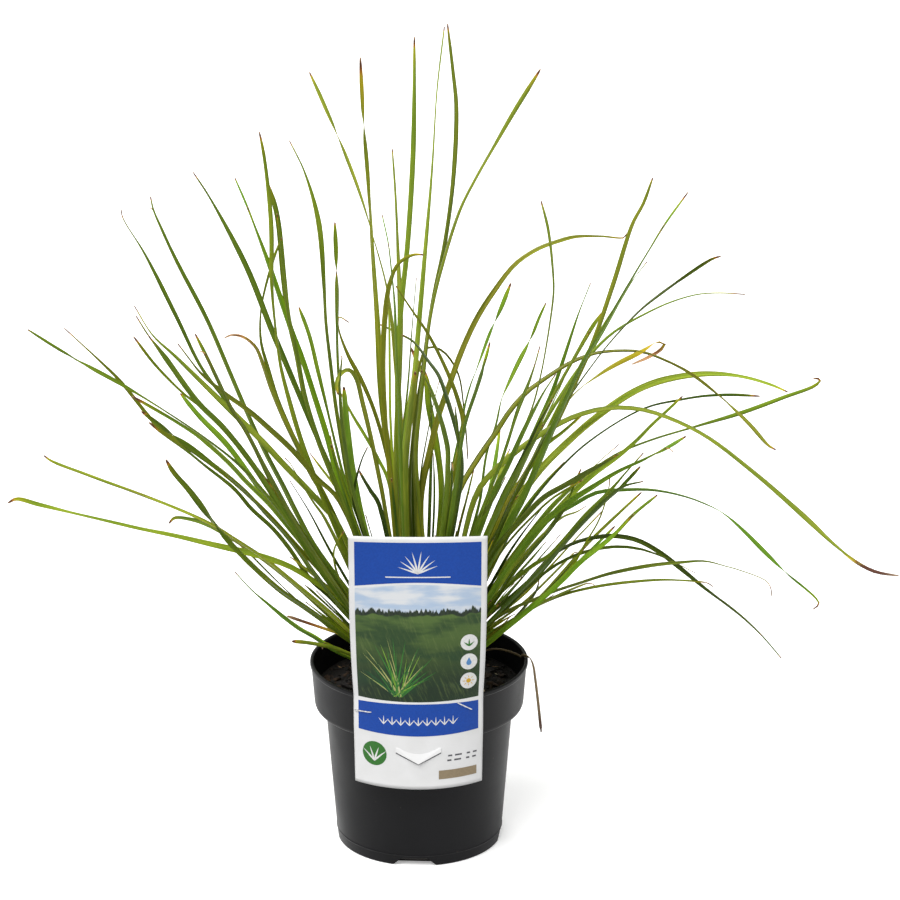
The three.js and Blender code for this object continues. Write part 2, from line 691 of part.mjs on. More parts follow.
// The solid of a strap's rings. Its broad sides split alike, so that they don't cross where it turns.
function strap(rings) {
  const places = rings.flat().flatMap((p) => [p.x, p.y, p.z]);
  const faces = [];
  for (let i = 0; i + 1 < rings.length; i++) {
    const [a, b, c, d] = [0, 1, 2, 3].map((j) => 4 * i + j);
    const [e, f, g, h] = [a + 4, b + 4, c + 4, d + 4];
    faces.push(b, e, a, b, f, e, c, d, h, c, h, g, a, e, d, d, e, h, b, c, f, c, g, f);
  }
  const n = 4 * (rings.length - 1);
  faces.push(0, 3, 2, 0, 2, 1, n, n + 2, n + 3, n, n + 1, n + 2);
  const geometry = new THREE.BufferGeometry();
  geometry.setAttribute("position", new THREE.Float32BufferAttribute(places, 3));
  geometry.setIndex(faces);
  return solid(geometry);
}

// The outline of a shoot's crown, a rounded wedge that points at the pot's axis, grown by a margin.
function crownOutline(sector, height, margin, scale = 1) {
  const angle = sectorAngle(sector);
  const slope = Math.tan(sectorWidth * 0.5 * degrees);
  const inner = crownInner - margin;
  const outer = crownOuter + margin;
  const half = (r) => (r * slope - 0.9 + margin) * scale;
  const middle = (inner + outer) / 2;
  const side = [
    [inner, half(inner) * 0.6],
    [inner + 3, half(inner + 3)],
    [outer - 3, half(outer - 3)],
    [outer, half(outer) * 0.5],
  ];
  const outline = [...side.map(([r, t]) => [r, -t]), ...side.reverse()];
  return outline.map(([r, t]) => {
    const s = middle + (r - middle) * scale;
    return new Vector3(s, t, height).applyAxisAngle(upward, angle);
  });
}

function crown(sector) {
  return loft([
    crownOutline(sector, crownFoot, 0),
    crownOutline(sector, crownTop - crownTaper, 0),
    crownOutline(sector, crownTop, 0, crownTopScale),
  ]);
}

// The outer body of a union, without the small hollows that its pieces seal between them.
function whole(body) {
  const pieces = body.decompose();
  return pieces.reduce((most, piece) => (piece.volume() > most.volume() ? piece : most)).simplify(0.02);
}

function shoot(sector) {
  const blades = leaves.map((leaf, order) => (leaf.sector === sector ? blade(leaf, order) : null));
  return whole(wasm.Manifold.union([crown(sector), ...blades.filter(Boolean)]));
}

// Pot: a lathed shell with drain holes in its floor and notches through the foot of its wall
function pot() {
  const inner = (r) => r - wall;
  const foot = [[0, 0], [footRadius - 0.8, 0], [footRadius, 0.8]];
  const ridge = [[0.4, -0.6], [1, 0], [0.6, 0.8]].map(([r, z]) => [footRadius + r, ridgeHeight + z]);
  const shoulder = [
    [bodyTopRadius, collarFoot - 0.8],
    [bodyTopRadius + 0.6, collarFoot],
    [collarFootRadius - 1.4, collarFoot],
    [collarFootRadius - 0.4, collarFoot + 0.8],
    [collarFootRadius + 0.2, collarFoot + 2.6],
  ];
  const lip = [
    [rimRadius - 0.9, potHeight - 3.4],
    [rimRadius, potHeight - 2.6],
    [rimRadius, potHeight - 0.4],
    [rimRadius - 0.4, potHeight],
    [inner(rimRadius) + 0.3, potHeight],
    [inner(rimRadius) - 0.4, potHeight - 0.6],
  ];
  const inside = [
    [inner(collarFootRadius) + 0.4, collarFoot + 3.6],
    [inner(collarFootRadius) - 0.4, collarFoot + wall],
    [inner(bodyTopRadius) + 1, collarFoot + wall],
    [inner(bodyTopRadius), collarFoot + 1.2],
    [inner(footRadius), floorRise],
    [inner(footRadius) - 2, floorTop],
    [0, floorTop],
  ];
  const body = lathe([...foot, ...ridge, ...shoulder, ...lip, ...inside], potSides);
  const cuts = [];
  for (let i = 0; i < drainCount; i++) {
    const angle = ((i + 0.5) * 2 * Math.PI) / drainCount;
    cuts.push(drum(drainRadius, -1, floorRise, drainRing * Math.cos(angle), drainRing * Math.sin(angle)));
  }
  for (let i = 0; i < notchCount; i++) {
    const shape = new THREE.Shape([
      new THREE.Vector2(-notchWidth / 2, -1), new THREE.Vector2(notchWidth / 2, -1),
      new THREE.Vector2(notchTopWidth / 2, notchHeight), new THREE.Vector2(-notchTopWidth / 2, notchHeight),
    ]);
    const geometry = new THREE.ExtrudeGeometry(shape, { depth: 12, bevelEnabled: false });
    geometry.rotateX(Math.PI / 2).translate(0, 9 - footRadius, 0);
    geometry.rotateZ((i * 2 * Math.PI) / notchCount + notchTurn * degrees);
    cuts.push(solid(geometry));
  }
  return body.subtract(wasm.Manifold.union(cuts));
}

// Soil: fills the pot to its uneven top, with a plain hole for each shoot
function soil() {
  const inner = (r) => r - wall - gap;
  const sides = [
    [0, floorTop + gap],
    [inner(footRadius) - 2.6, floorTop + gap],
    [inner(footRadius) - 0.2, floorRise + 0.4],
    [inner(bodyTopRadius) - 0.2, collarFoot + 0.6],
    [inner(bodyTopRadius) + 0.6, collarFoot + wall + 0.4],
    [inner(collarFootRadius) - 0.7, collarFoot + wall + 0.6],
    [inner(collarFootRadius) - 0.2, collarFoot + 4.2],
    [inner(collarFootRadius) + 1, soilHeight - 1.4],
  ];
  const top = [[62, -0.4], [52, 0.6], [42, 0], [34, 0.8], [0, 1]].map(([r, rise]) => [r, soilHeight + rise]);
  const body = lathe([...sides, ...top], soilSides);
  const holes = [];
  for (let sector = 0; sector < shootCount; sector++) {
    holes.push(loft([crownOutline(sector, crownFoot - gap, gap), crownOutline(sector, soilHeight + 9, gap)]));
  }
  return body.subtract(wasm.Manifold.union(holes));
}

// Label: a card bent round the collar at its foot and nearly flat at its top, with a pointed tab
const labelHalf = labelWidth / 2;
const collarBend = 77.4;

// The card's bend, as a radius about an upright line behind its middle, at heights from its foot to its top.
const labelBends = [
  [labelFoot, 69.5],
  [88, 72.5],
  [110, collarBend],
  [potHeight, collarBend],
  [160, 110],
  [195, 200],
  [labelTop, 460],
];

// The bend at any height.
function labelRadius(height) {
  let i = 0;
  while (i + 2 < labelBends.length && height > labelBends[i + 1][0]) i++;
  const [[low, a], [high, b]] = [labelBends[i], labelBends[i + 1]];
  return 1 / mix(1 / a, 1 / b, clamp((height - low) / (high - low), 0, 1));
}

// A point on the card: across from its middle along the card, up, and out from its back.
function onLabel(across, height, out) {
  const radius = labelRadius(height);
  const angle = across / radius;
  const depth = radius - labelBack - (radius + out) * Math.cos(angle);
  return new Vector3((radius + out) * Math.sin(angle), depth, height);
}

function label() {
  const columns = Array.from({ length: 11 }, (_, i) => mix(-labelHalf, labelHalf, i / 10));
  const rings = labelBends.map(([height]) => {
    const front = columns.map((across) => onLabel(across, height, labelThickness));
    const back = columns.map((across) => onLabel(across, height, 0));
    return [...front, ...back.reverse()];
  });
  const tabHalf = tabWidth / 2;
  const tab = loft([
    [[0.5 - tabHalf, tabTop - 0.2, 1.3], [tabHalf - 0.5, tabTop - 0.2, 1.3], [0, tabPoint + 0.6, 2.6]],
    [[-tabHalf, tabTop, 0.4], [tabHalf, tabTop, 0.4], [0, tabPoint, 0.4]],
  ].map((ring) => ring.map(([across, height, out]) => onLabel(across, height, out))));
  return loft(rings).add(tab);
}

// Staples: a crown wire over the card, with a leg at each end through card and collar
const staples = [
  { name: "staple_left", across: -39.5, height: 122, length: 12.6, tilt: 4 },
  { name: "staple_right", across: 32.5, height: 127, length: 12.2, tilt: -32 },
];

function stapleParts({ across, height, length, tilt }, margin) {
  const ends = [-1, 1].map((side) => [
    across + (side * length / 2) * Math.cos(tilt * degrees),
    height + (side * length / 2) * Math.sin(tilt * degrees),
  ]);
  const wire = stapleWire / 2 + margin;
  const front = labelThickness + gap + stapleWire / 2;
  const bar = ends.map(([x, z]) => onLabel(x, z, front));
  const pieces = [rod(bar[0], bar[1], wire, stapleWire / 2 + margin)];
  for (const [x, z] of ends) pieces.push(rod(onLabel(x, z, front), onLabel(x, z, -stapleReach), wire, 0));
  return pieces;
}

// A square wire between two points, longer by a bit at each end.
function rod(from, to, half, extra) {
  const along = to.clone().sub(from);
  const length = along.length() + 2 * extra;
  const geometry = new THREE.BoxGeometry(2 * half, 2 * half, length);
  const turned = new THREE.Quaternion().setFromUnitVectors(upward, along.normalize());
  geometry.applyQuaternion(turned);
  const middle = from.clone().add(to).multiplyScalar(0.5);
  geometry.translate(middle.x, middle.y, middle.z);
  return solid(geometry);
}

const staple = (which) => wasm.Manifold.union(stapleParts(which, 0));
const stapleRoom = () => wasm.Manifold.union(staples.flatMap((which) => stapleParts(which, gap)));

// Dead strand: a dry thin leaf fallen over the rim at the right
function deadStrand() {
  const route = new THREE.CatmullRomCurve3([
    [38, 46, soilHeight + 1],
    [45.5, 45, 120],
    [54, 40, 123.8],
    [62, 31, 126],
    [67.5, 22, 127.6],
    [70.8, 14, 129.2],
    [71.9, 8, 131],
    [72.6, 4.6, potHeight + 0.9],
    [75, 1.4, potHeight + 1.4],
    [77.7, -0.8, potHeight + 0.8],
    [79.8, -2, 129.5],
    [81.4, -2, 119],
    [83.2, -1, 104],
    [86, 0, 77],
  ].map(([x, y, z]) => new Vector3(x, y, z)), false, "centripetal").getSpacedPoints(strandSegments);
  const rings = route.map((point, i) => {
    const along = route[Math.min(i + 1, strandSegments)].clone().sub(route[Math.max(i - 1, 0)]).normalize();
    const out = new Vector3(point.x, point.y, 40).normalize();
    const across = out.clone().cross(along).normalize();
    const up = along.clone().cross(across);
    const half = mix(0.6, 1.1, i / strandSegments);
    return [[1, 1], [-1, 1], [-1, -1], [1, -1]].map(([a, b]) =>
      point.clone().addScaledVector(across, a * half).addScaledVector(up, (b * strandThickness) / 2));
  });
  return strap(rings);
}

const looks = {
  pot: { color: 0x26272a, roughness: 0.5 },
  soil: { color: 0x2b211a, roughness: 0.95 },
  shoot: { color: 0x6c8a2e, roughness: 0.55 },
  label: { color: 0xf2f1ec, roughness: 0.45 },
  staple: { color: 0x9a9a9a, roughness: 0.35, metalness: 0.9 },
  dead: { color: 0xb59a6a, roughness: 0.8 },
};

const group = new THREE.Group();
function addMesh(name, body, look) {
  const mesh = new THREE.Mesh(geometryOf(body), new THREE.MeshStandardMaterial({ metalness: 0, ...look }));
  mesh.name = name;
  group.add(mesh);
}

const wireRoom = stapleRoom();
addMesh("pot", pot().subtract(wireRoom), looks.pot);
addMesh("soil", soil().subtract(wireRoom), looks.soil);
for (let sector = 0; sector < shootCount; sector++) {
  addMesh(`shoot_${String(sector + 1).padStart(2, "0")}`, shoot(sector), looks.shoot);
}
addMesh("label", label().subtract(wireRoom), looks.label);
for (const which of staples) addMesh(which.name, staple(which), looks.staple);
addMesh("dead_strand", deadStrand(), looks.dead);

export default group;
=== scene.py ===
import itertools
import math
import random

import bmesh
import bpy
import numpy as np
from mathutils import Matrix, Vector, noise


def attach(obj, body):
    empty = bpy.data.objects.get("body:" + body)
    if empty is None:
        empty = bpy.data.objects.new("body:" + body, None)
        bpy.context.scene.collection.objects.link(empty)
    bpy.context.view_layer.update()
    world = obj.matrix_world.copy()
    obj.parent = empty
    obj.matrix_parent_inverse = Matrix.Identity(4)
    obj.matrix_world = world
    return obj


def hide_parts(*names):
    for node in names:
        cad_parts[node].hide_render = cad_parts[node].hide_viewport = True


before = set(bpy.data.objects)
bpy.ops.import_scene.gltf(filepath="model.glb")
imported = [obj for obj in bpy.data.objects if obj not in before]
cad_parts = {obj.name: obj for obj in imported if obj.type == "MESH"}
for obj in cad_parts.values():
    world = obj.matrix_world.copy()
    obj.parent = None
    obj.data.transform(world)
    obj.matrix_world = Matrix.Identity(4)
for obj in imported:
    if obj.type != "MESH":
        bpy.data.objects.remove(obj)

# Potted lomandra. Sizes in the settings are in millimetres, and mm turns them into Blender's metres.
mm = 0.001
degree = math.pi / 180
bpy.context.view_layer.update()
up = Vector((0, 0, 1))


def clamp(value, low=0.0, high=1.0):
    return min(high, max(low, value))


def mix(a, b, t):
    return a + (b - a) * t


def smoothStep(t):
    t = clamp(t)
    return t * t * (3 - 2 * t)


# Camera, light and floor

camera = {"place": (21.7, -2638, 1220), "down": 19.46, "lens": 162.64, "sensor": 36}


def makeCamera():
    data = bpy.data.cameras.new("photoCamera")
    data.lens = camera["lens"]
    data.sensor_width = camera["sensor"]
    data.clip_end = 60
    seen = bpy.data.objects.new("photoCamera", data)
    seen.location = Vector(camera["place"]) * mm
    seen.rotation_euler = ((90 - camera["down"]) * degree, 0, 0)
    bpy.context.scene.collection.objects.link(seen)
    bpy.context.scene.camera = seen


# A broad soft key from the upper left, and softboxes at the right and behind, in metres and watts.
keyLight = {"from": (-0.36, -0.46, 1.0), "spread": 45, "strength": 3.15}
softboxes = {"rightBox": {"place": (1.9, -1.0, 1.1), "size": 1.4, "power": 11},
             "backBox": {"place": (-0.9, 2.1, 1.3), "size": 1.6, "power": 16}}
studio = {"sky": (1, 1, 1), "skyStrength": 0.54, "floor": (0.97, 0.97, 0.965), "floorGlow": 0.3,
          "floorHalf": 12}


def aimLight(data, place):
    light = bpy.data.objects.new(data.name, data)
    light.location = place
    light.rotation_euler = (Vector((0, 0, 0.2)) - place).to_track_quat("-Z", "Y").to_euler()
    bpy.context.scene.collection.objects.link(light)


def makeStudio():
    world = bpy.data.worlds.new("studio")
    world.use_nodes = True
    sky = world.node_tree.nodes["Background"]
    sky.inputs["Color"].default_value = (*studio["sky"], 1)
    sky.inputs["Strength"].default_value = studio["skyStrength"]
    bpy.context.scene.world = world
    sun = bpy.data.lights.new("keyLight", "SUN")
    sun.angle = keyLight["spread"] * degree
    sun.energy = keyLight["strength"]
    aimLight(sun, Vector(keyLight["from"]) * 3)
    for name, box in softboxes.items():
        lamp = bpy.data.lights.new(name, "AREA")
        lamp.shape = "DISK"
        lamp.size = box["size"]
        lamp.energy = box["power"]
        aimLight(lamp, Vector(box["place"]))
    bm = bmesh.new()
    bmesh.ops.create_grid(bm, x_segments=2, y_segments=2, size=studio["floorHalf"])
    mesh = bpy.data.meshes.new("floor")
    bm.to_mesh(mesh)
    bm.free()
    floor = bpy.data.objects.new("floor", mesh)
    material = bpy.data.materials.new("paleFloor")
    material.use_nodes = True
    shader = material.node_tree.nodes["Principled BSDF"]
    shader.inputs["Base Color"].default_value = (*studio["floor"], 1)
    shader.inputs["Roughness"].default_value = 0.9
    shader.inputs["Emission Color"].default_value = (1, 1, 1, 1)
    shader.inputs["Emission Strength"].default_value = studio["floorGlow"]  # a lit table
    mesh.materials.append(material)
    bpy.context.scene.collection.objects.link(floor)
    floor.visible_diffuse = False  # it throws no light back up, so that the leaves' undersides stay dark
    bpy.context.scene.view_settings.view_transform = "Standard"


makeCamera()
makeStudio()
print("camera, light and floor done")


# Small helpers for meshes and materials

def thicken(piece, thickness, offset):
    wall = piece.modifiers.new("thickness", "SOLIDIFY")
    wall.thickness = thickness * mm
    wall.offset = offset


def onlyOf(geom, kind):
    return [item for item in geom if isinstance(item, kind)]


def finishPiece(bm, name, materials, replaced=(), sharp=None, smooth=True):
    mesh = bpy.data.meshes.new(name)
    bm.to_mesh(mesh)
    bm.free()
    for material in materials:
        mesh.materials.append(material)
    mesh.polygons.foreach_set("use_smooth", [smooth] * len(mesh.polygons))
    if sharp:
        mesh.set_sharp_from_angle(angle=sharp * degree)
    piece = bpy.data.objects.new(name, mesh)
    bpy.context.scene.collection.objects.link(piece)
    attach(piece, "root")
    if replaced:
        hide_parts(*replaced)
    return piece


# A material's nodes, kept short: add makes a node with its settings, feed joins or sets a socket.
class Nodes:
    def __init__(self, name):
        self.material = bpy.data.materials.new(name)
        self.material.use_nodes = True
        self.tree = self.material.node_tree
        self.shader = self.tree.nodes["Principled BSDF"]

    def add(self, kind, inputs=None, **settings):
        made = self.tree.nodes.new("ShaderNode" + kind)
        for key, value in settings.items():
            setattr(made, key, value)
        for key, value in (inputs or {}).items():
            self.feed(made.inputs[key], value)
        return made

    def feed(self, socket, value):
        if isinstance(value, bpy.types.NodeSocket):
            self.tree.links.new(value, socket)
        elif isinstance(value, tuple) and len(value) == 3 and socket.type == "RGBA":
            socket.default_value = (*value, 1)
        else:
            socket.default_value = value

    def math(self, operation, a, b=0.0):
        return self.add("Math", {0: a, 1: b}, operation=operation).outputs[0]

    def remap(self, value, low, high, toLow=0.0, toHigh=1.0):
        wanted = {"Value": value, "From Min": low, "From Max": high, "To Min": toLow, "To Max": toHigh}
        return self.add("MapRange", wanted, interpolation_type="SMOOTHSTEP").outputs["Result"]

    def blend(self, factor, a, b, way="MIX"):
        made = self.add("Mix", data_type="RGBA", blend_type=way)
        for socket, value in ((made.inputs[0], factor), (made.inputs[6], a), (made.inputs[7], b)):
            self.feed(socket, value)
        return made.outputs[2]

    def times(self, colour, factor):
        return self.blend(1.0, colour, factor, "MULTIPLY")

    def timesWhere(self, share, colour, factor):
        return self.blend(share, colour, self.times(colour, factor))

    def place(self):
        return self.add("TexCoord").outputs["Object"]

    def attribute(self, name):
        return self.add("Attribute", attribute_name=name).outputs

    def uv(self):  # across a blade, and along it
        where = self.add("UVMap", uv_map="UVMap").outputs[0]
        across, along, _ = self.add("SeparateXYZ", {0: where}).outputs
        return across, along

    def noise(self, vector, scale, detail=2.0, roughness=0.5):
        wanted = {"Vector": vector, "Scale": scale, "Detail": detail, "Roughness": roughness}
        return self.add("TexNoise", wanted).outputs["Fac"]

    def vector(self, x, y, z):
        return self.add("CombineXYZ", {0: x, 1: y, 2: z}).outputs[0]

    def grain(self, a, b, scales, third, detail):  # noise drawn out along two measures
        drawn = [self.math("MULTIPLY", value, scale) for value, scale in zip((a, b), scales)]
        return self.noise(self.vector(*drawn, third), 1, detail)

    def bump(self, height, distance, strength, normal=None):
        made = self.add("Bump", {"Height": height, "Distance": distance, "Strength": strength})
        if normal:
            self.feed(made.inputs["Normal"], normal)
        return made.outputs["Normal"]

    def ramp(self, factor, stops):
        made = self.add("ValToRGB", {"Fac": factor})
        for i, (place, colour) in enumerate(stops):
            if i < 2:
                stop = made.color_ramp.elements[i]
                stop.position = place
            else:
                stop = made.color_ramp.elements.new(place)
            stop.color = (*colour, 1)
        return made.outputs["Color"]

    def finish(self, **inputs):
        for name, value in inputs.items():
            socket = {"colour": "Base Color", "specular": "Specular IOR Level"}.get(name, name.capitalize())
            self.feed(self.shader.inputs[socket], value)
        return self.material


# The leaves as read off: how far behind (+) or before (-) the axis the tip is, the width, the look, the
# turns at 35, 70 and 100 % of the length, and the path from the tip down, in pairs of a place across and a
# height.
readings = [
    (-60, 4.5, "mid", (30, 80, 10), (-266, 375, -250, 364, -233, 353, -204, 336, -178, 319, -150, 299,
        -125, 278, -107, 257, -86, 228)),
    (40, 4.6, "olive", (20, 40, 30), (-241, 376, -218, 353, -204, 338, -177, 303, -159, 290, -135, 271,
        -115, 252, -95, 230)),
    (-30, 4.2, "fresh", (30, 20, 40), (-196, 327, -167, 309, -149, 296, -131, 279, -119, 265, -103, 248,
        -90, 231, -76, 212)),
    (-80, 5.6, "light", (10, 20, 20), (-193, 392, -181, 371, -166, 356, -148, 337, -128, 316, -107, 294,
        -95, 280, -79, 262, -67, 248, -56, 234)),
    (60, 5, "mid", (20, 30, 30), (-192, 385, -184, 371, -171, 352, -160, 335, -150, 321, -134, 304,
        -115, 278, -101, 255, -88, 233, -72, 205)),
    (-20, 5, "mid", (20, 40, 50), (-194, 370, -180, 350, -161, 329, -149, 319, -131, 300, -119, 284,
        -103, 262, -90, 243, -76, 218, -62, 195)),
    (120, 4.4, "fresh", (30, 40, 30), (-163, 329, -150, 312, -132, 292, -109, 258, -95, 238)),
    (-110, 5, "olive", (15, 30, 40), (-164, 365, -157, 355, -149, 344, -134, 330, -117, 317, -102, 303,
        -87, 288, -71, 268, -54, 249)),
    (150, 4, "mid", (30, 40, 50), (-152, 372, -145, 357, -138, 341, -127, 316, -119, 303, -107, 278,
        -97, 258, -84, 232)),
    (30, 4.4, "mid", (30, 40, 50), (-200, 460, -199, 454, -185, 429, -164, 383, -148, 347, -128, 318,
        -117, 298, -101, 262, -88, 238)),
    (-50, 4.4, "mid", (20, 40, 60), (-180, 469, -178, 459, -163, 423, -143, 381, -127, 340, -116, 312,
        -106, 288, -94, 263, -84, 241, -72, 217)),
    (-30, 4.6, "mid", (20, 30, 50), (-151, 486, -140, 468, -116, 419, -100, 375, -91, 352, -81, 326,
        -72, 302, -61, 275, -51, 249)),
    (60, 5, "fresh", (20, 30, 50), (-123, 482, -115, 462, -101, 421, -87, 376, -79, 353, -71, 326,
        -63, 298, -56, 268, -50, 246)),
    (-70, 5.2, "mid", (10, 40, 50), (-106, 514, -103, 497, -99, 451, -99, 406, -97, 377, -94, 350,
        -88, 323, -80, 293, -70, 264, -61, 240)),
    (100, 4, "mid", (30, 40, 50), (-101, 479, -95, 457, -91, 412, -88, 383, -83, 358, -77, 324, -68, 293,
        -59, 268)),
    (-20, 5.2, "olive", (15, 30, 60), (-92, 440, -96, 430, -103, 407, -107, 386, -107, 366, -103, 349,
        -97, 326, -86, 298, -74, 270, -62, 248)),
    (20, 4.4, "olive", (20, 30, 60), (-132, 369, -127, 371, -120, 370, -114, 366, -110, 361, -106, 350,
        -101, 334, -93, 313, -85, 295, -74, 271, -64, 252)),
    (80, 4, "mid", (30, 50, 70), (-86, 508, -76, 486, -67, 451, -64, 406, -63, 380, -60, 349, -57, 321,
        -53, 293, -48, 262)),
    (160, 3.2, "mid", (30, 50, 60), (-56, 451, -55, 417, -55, 395, -55, 362, -54, 336, -51, 300,
        -46, 262)),
    (200, 4.4, "mid", (20, 30, 30), (-81, 391, -74, 370, -69, 347, -63, 319, -57, 291, -50, 262)),
    (-60, 3.6, "olive", (20, 60, 70), (-47, 380, -54, 384, -54, 375, -48, 357, -39, 339, -30, 316,
        -23, 290, -18, 262)),
    (-120, 4.6, "olive", (15, 30, 20), (-55, 328, -56, 336, -53, 343, -48, 346, -43, 341, -38, 321,
        -33, 298, -28, 272, -24, 249)),
    (180, 2.8, "mid", (30, 40, 50), (-53, 329, -45, 313, -37, 299, -28, 282, -20, 262)),
    (40, 5.6, "light", (10, 30, 40), (-72, 555, -63, 534, -42, 480, -28, 432, -22, 408, -19, 389,
        -16, 357, -13, 320, -12, 280, -12, 250)),
    (-50, 5.2, "light", (10, 30, 50), (-38, 565, -36, 520, -33, 476, -31, 434, -28, 383, -27, 357,
        -25, 323, -21, 288, -18, 253)),
    (90, 3.8, "light", (30, 50, 70), (-17, 502, -15, 470, -13, 417, -12, 385, -13, 340, -15, 297,
        -15, 253)),
    (130, 3.6, "fresh", (30, 50, 70), (-24, 456, -20, 436, -18, 417, -16, 394, -15, 357, -13, 314,
        -12, 270)),
    (-30, 4.4, "light", (30, 50, 60), (-2, 579, -2, 553, -3, 498, -7, 434, -11, 395, -14, 350, -14, 300,
        -12, 255)),
    (-70, 5, "light", (10, 40, 60), (18, 586, 13, 542, 9, 481, 5, 434, 0, 375, -3, 340, -7, 314,
        -10, 288, -11, 253)),
    (50, 5.6, "olive", (20, 20, 40), (20, 588, 24, 553, 26, 531, 24, 481, 18, 434, 12, 405, 7, 375,
        3, 344, -1, 318, -4, 290, -6, 250)),
    (-20, 4.2, "olive", (20, 50, 70), (82, 557, 64, 527, 50, 502, 38, 480, 28, 459, 14, 412, 8, 384,
        4, 350, 1, 320, -2, 285)),
    (-90, 4, "olive", (30, 40, 60), (4, 428, -3, 428, -13, 422, -19, 408, -22, 389, -24, 350, -22, 300,
        -18, 255)),
    (-130, 4.6, "olive", (20, 30, 60), (-15, 406, -5, 390, 6, 373, 17, 351, 26, 328, 31, 308, 30, 298,
        26, 281, 21, 255)),
    (110, 2.6, "olive", (30, 40, 60), (34, 281, 33, 297, 31, 320, 27, 344, 16, 360, 6, 362, 0, 345,
        -3, 310, -4, 265)),
    (-90, 5.6, "olive", (10, 50, 60), (141, 443, 139, 440, 134, 440, 125, 441, 106, 441, 95, 438,
        80, 432, 65, 421, 52, 403, 40, 383, 29, 358, 22, 338, 14, 314, 8, 288, 1, 248)),
    (140, 4.4, "fresh", (20, 40, 40), (63, 408, 56, 389, 50, 375, 42, 352, 35, 332, 31, 314, 30, 305,
        26, 286, 20, 250)),
    (190, 3.6, "fresh", (30, 40, 40), (49, 366, 46, 354, 40, 333, 33, 311, 30, 297, 27, 275, 24, 252)),
    (90, 5, "fresh", (15, 40, 75), (87, 394, 83, 385, 78, 372, 65, 344, 57, 325, 53, 306, 47, 287,
        44, 266, 42, 250)),
    (170, 3.6, "mid", (30, 50, 60), (83, 363, 80, 351, 76, 338, 68, 316, 62, 295, 56, 276, 48, 255)),
    (-40, 4.2, "olive", (30, 50, 50), (83, 466, 88, 446, 92, 410, 92, 399, 87, 360, 83, 338, 78, 318,
        70, 298, 60, 275, 50, 255)),
    (150, 4.4, "fresh", (20, 30, 60), (94, 343, 86, 330, 78, 314, 69, 294, 61, 275, 51, 253)),
    (110, 4.2, "fresh", (20, 40, 80), (117, 408, 109, 386, 105, 373, 99, 353, 92, 331, 83, 309, 74, 288,
        63, 262, 54, 240)),
    (60, 4.6, "mid", (20, 40, 50), (125, 387, 117, 374, 108, 357, 99, 340, 89, 320, 78, 296, 66, 268,
        56, 245)),
    (-60, 4.8, "light", (10, 30, 40), (158, 482, 152, 464, 145, 450, 133, 409, 119, 365, 108, 338,
        97, 312, 85, 286, 77, 262, 66, 238)),
    (30, 5.6, "fresh", (10, 60, 70), (182, 472, 167, 450, 155, 429, 144, 409, 129, 381, 112, 350,
        103, 329, 92, 303, 82, 277, 72, 252, 62, 232)),
    (120, 3.8, "mid", (30, 50, 80), (155, 423, 147, 412, 138, 397, 126, 376, 113, 352, 98, 322, 84, 292,
        70, 260)),
    (-100, 4.4, "dark", (30, 80, 50), (205, 427, 199, 425, 180, 412, 164, 400, 150, 388, 130, 365,
        117, 347, 103, 326, 90, 303, 78, 280, 66, 254)),
    (20, 4.6, "light", (20, 40, 75), (222, 400, 205, 401, 190, 400, 173, 395, 156, 387, 132, 372,
        112, 350, 98, 328, 84, 303, 72, 278, 60, 250)),
    (-70, 5, "olive", (20, 60, 40), (246, 288, 241, 291, 228, 306, 210, 324, 187, 343, 171, 352,
        153, 359, 138, 360, 120, 358, 103, 351, 88, 341, 74, 330, 63, 317, 52, 299, 41, 282, 26, 252)),
    (-30, 6.2, "yellow", (50, 40, 60), (146, 350, 157, 355, 166, 361, 168, 365, 163, 366, 152, 359,
        135, 350, 124, 343, 105, 327, 95, 310, 84, 292, 72, 270, 60, 248)),
    (-40, 6, "light", (10, 20, 50), (253, 330, 242, 335, 222, 341, 200, 343, 179, 341, 160, 336,
        144, 328, 119, 309, 103, 294, 86, 276, 73, 258, 63, 241)),
    (60, 5.4, "mid", (70, 40, 30), (270, 340, 275, 339, 272, 335, 250, 326, 222, 315, 191, 305, 160, 295,
        137, 285, 120, 273, 104, 258, 88, 240, 72, 218)),
    (100, 5, "fresh", (40, 20, 30), (184, 298, 170, 289, 155, 281, 137, 272, 120, 261, 108, 253, 95, 243,
        80, 228, 66, 208, 55, 190)),
    (-10, 4.6, "dark", (30, 50, 50), (234, 327, 214, 328, 195, 327, 178, 324, 160, 320, 143, 312,
        115, 292, 99, 276, 85, 259, 72, 240, 60, 220)),
    (30, 5.6, "light", (30, 60, 40), (334, 195, 318, 198, 306, 204, 290, 217, 262, 244, 231, 272,
        195, 300, 160, 316, 142, 319, 125, 318, 108, 313, 94, 306, 80, 297, 66, 286, 51, 272, 39, 254)),
    (-50, 5.6, "fresh", (15, 75, 40), (275, 170, 279, 174, 277, 178, 256, 197, 243, 210, 213, 240,
        195, 250, 177, 256, 160, 259, 142, 259, 123, 257, 107, 248, 90, 237, 75, 220, 62, 202, 52, 184)),
    (20, 4.6, "dark", (70, 30, 70), (254, 133, 240, 150, 225, 165, 198, 187, 183, 200, 167, 213,
        151, 222, 134, 225, 118, 223, 104, 218, 90, 208, 76, 192, 64, 176)),
    (-60, 4.6, "mid", (40, 20, 75), (246, 180, 245, 186, 242, 191, 221, 200, 214, 202, 199, 206,
        181, 205, 162, 203, 133, 197, 112, 190, 95, 184, 79, 177, 62, 169, 48, 158)),
    (70, 2.8, "olive", (40, 40, 60), (205, 187, 200, 190, 174, 192, 153, 191, 129, 188, 104, 182,
        87, 175, 70, 165, 56, 154)),
    (-20, 5, "light", (20, 40, 70), (181, 327, 171, 317, 160, 306, 150, 295, 137, 283, 120, 270,
        106, 256, 92, 240, 78, 222, 66, 205)),
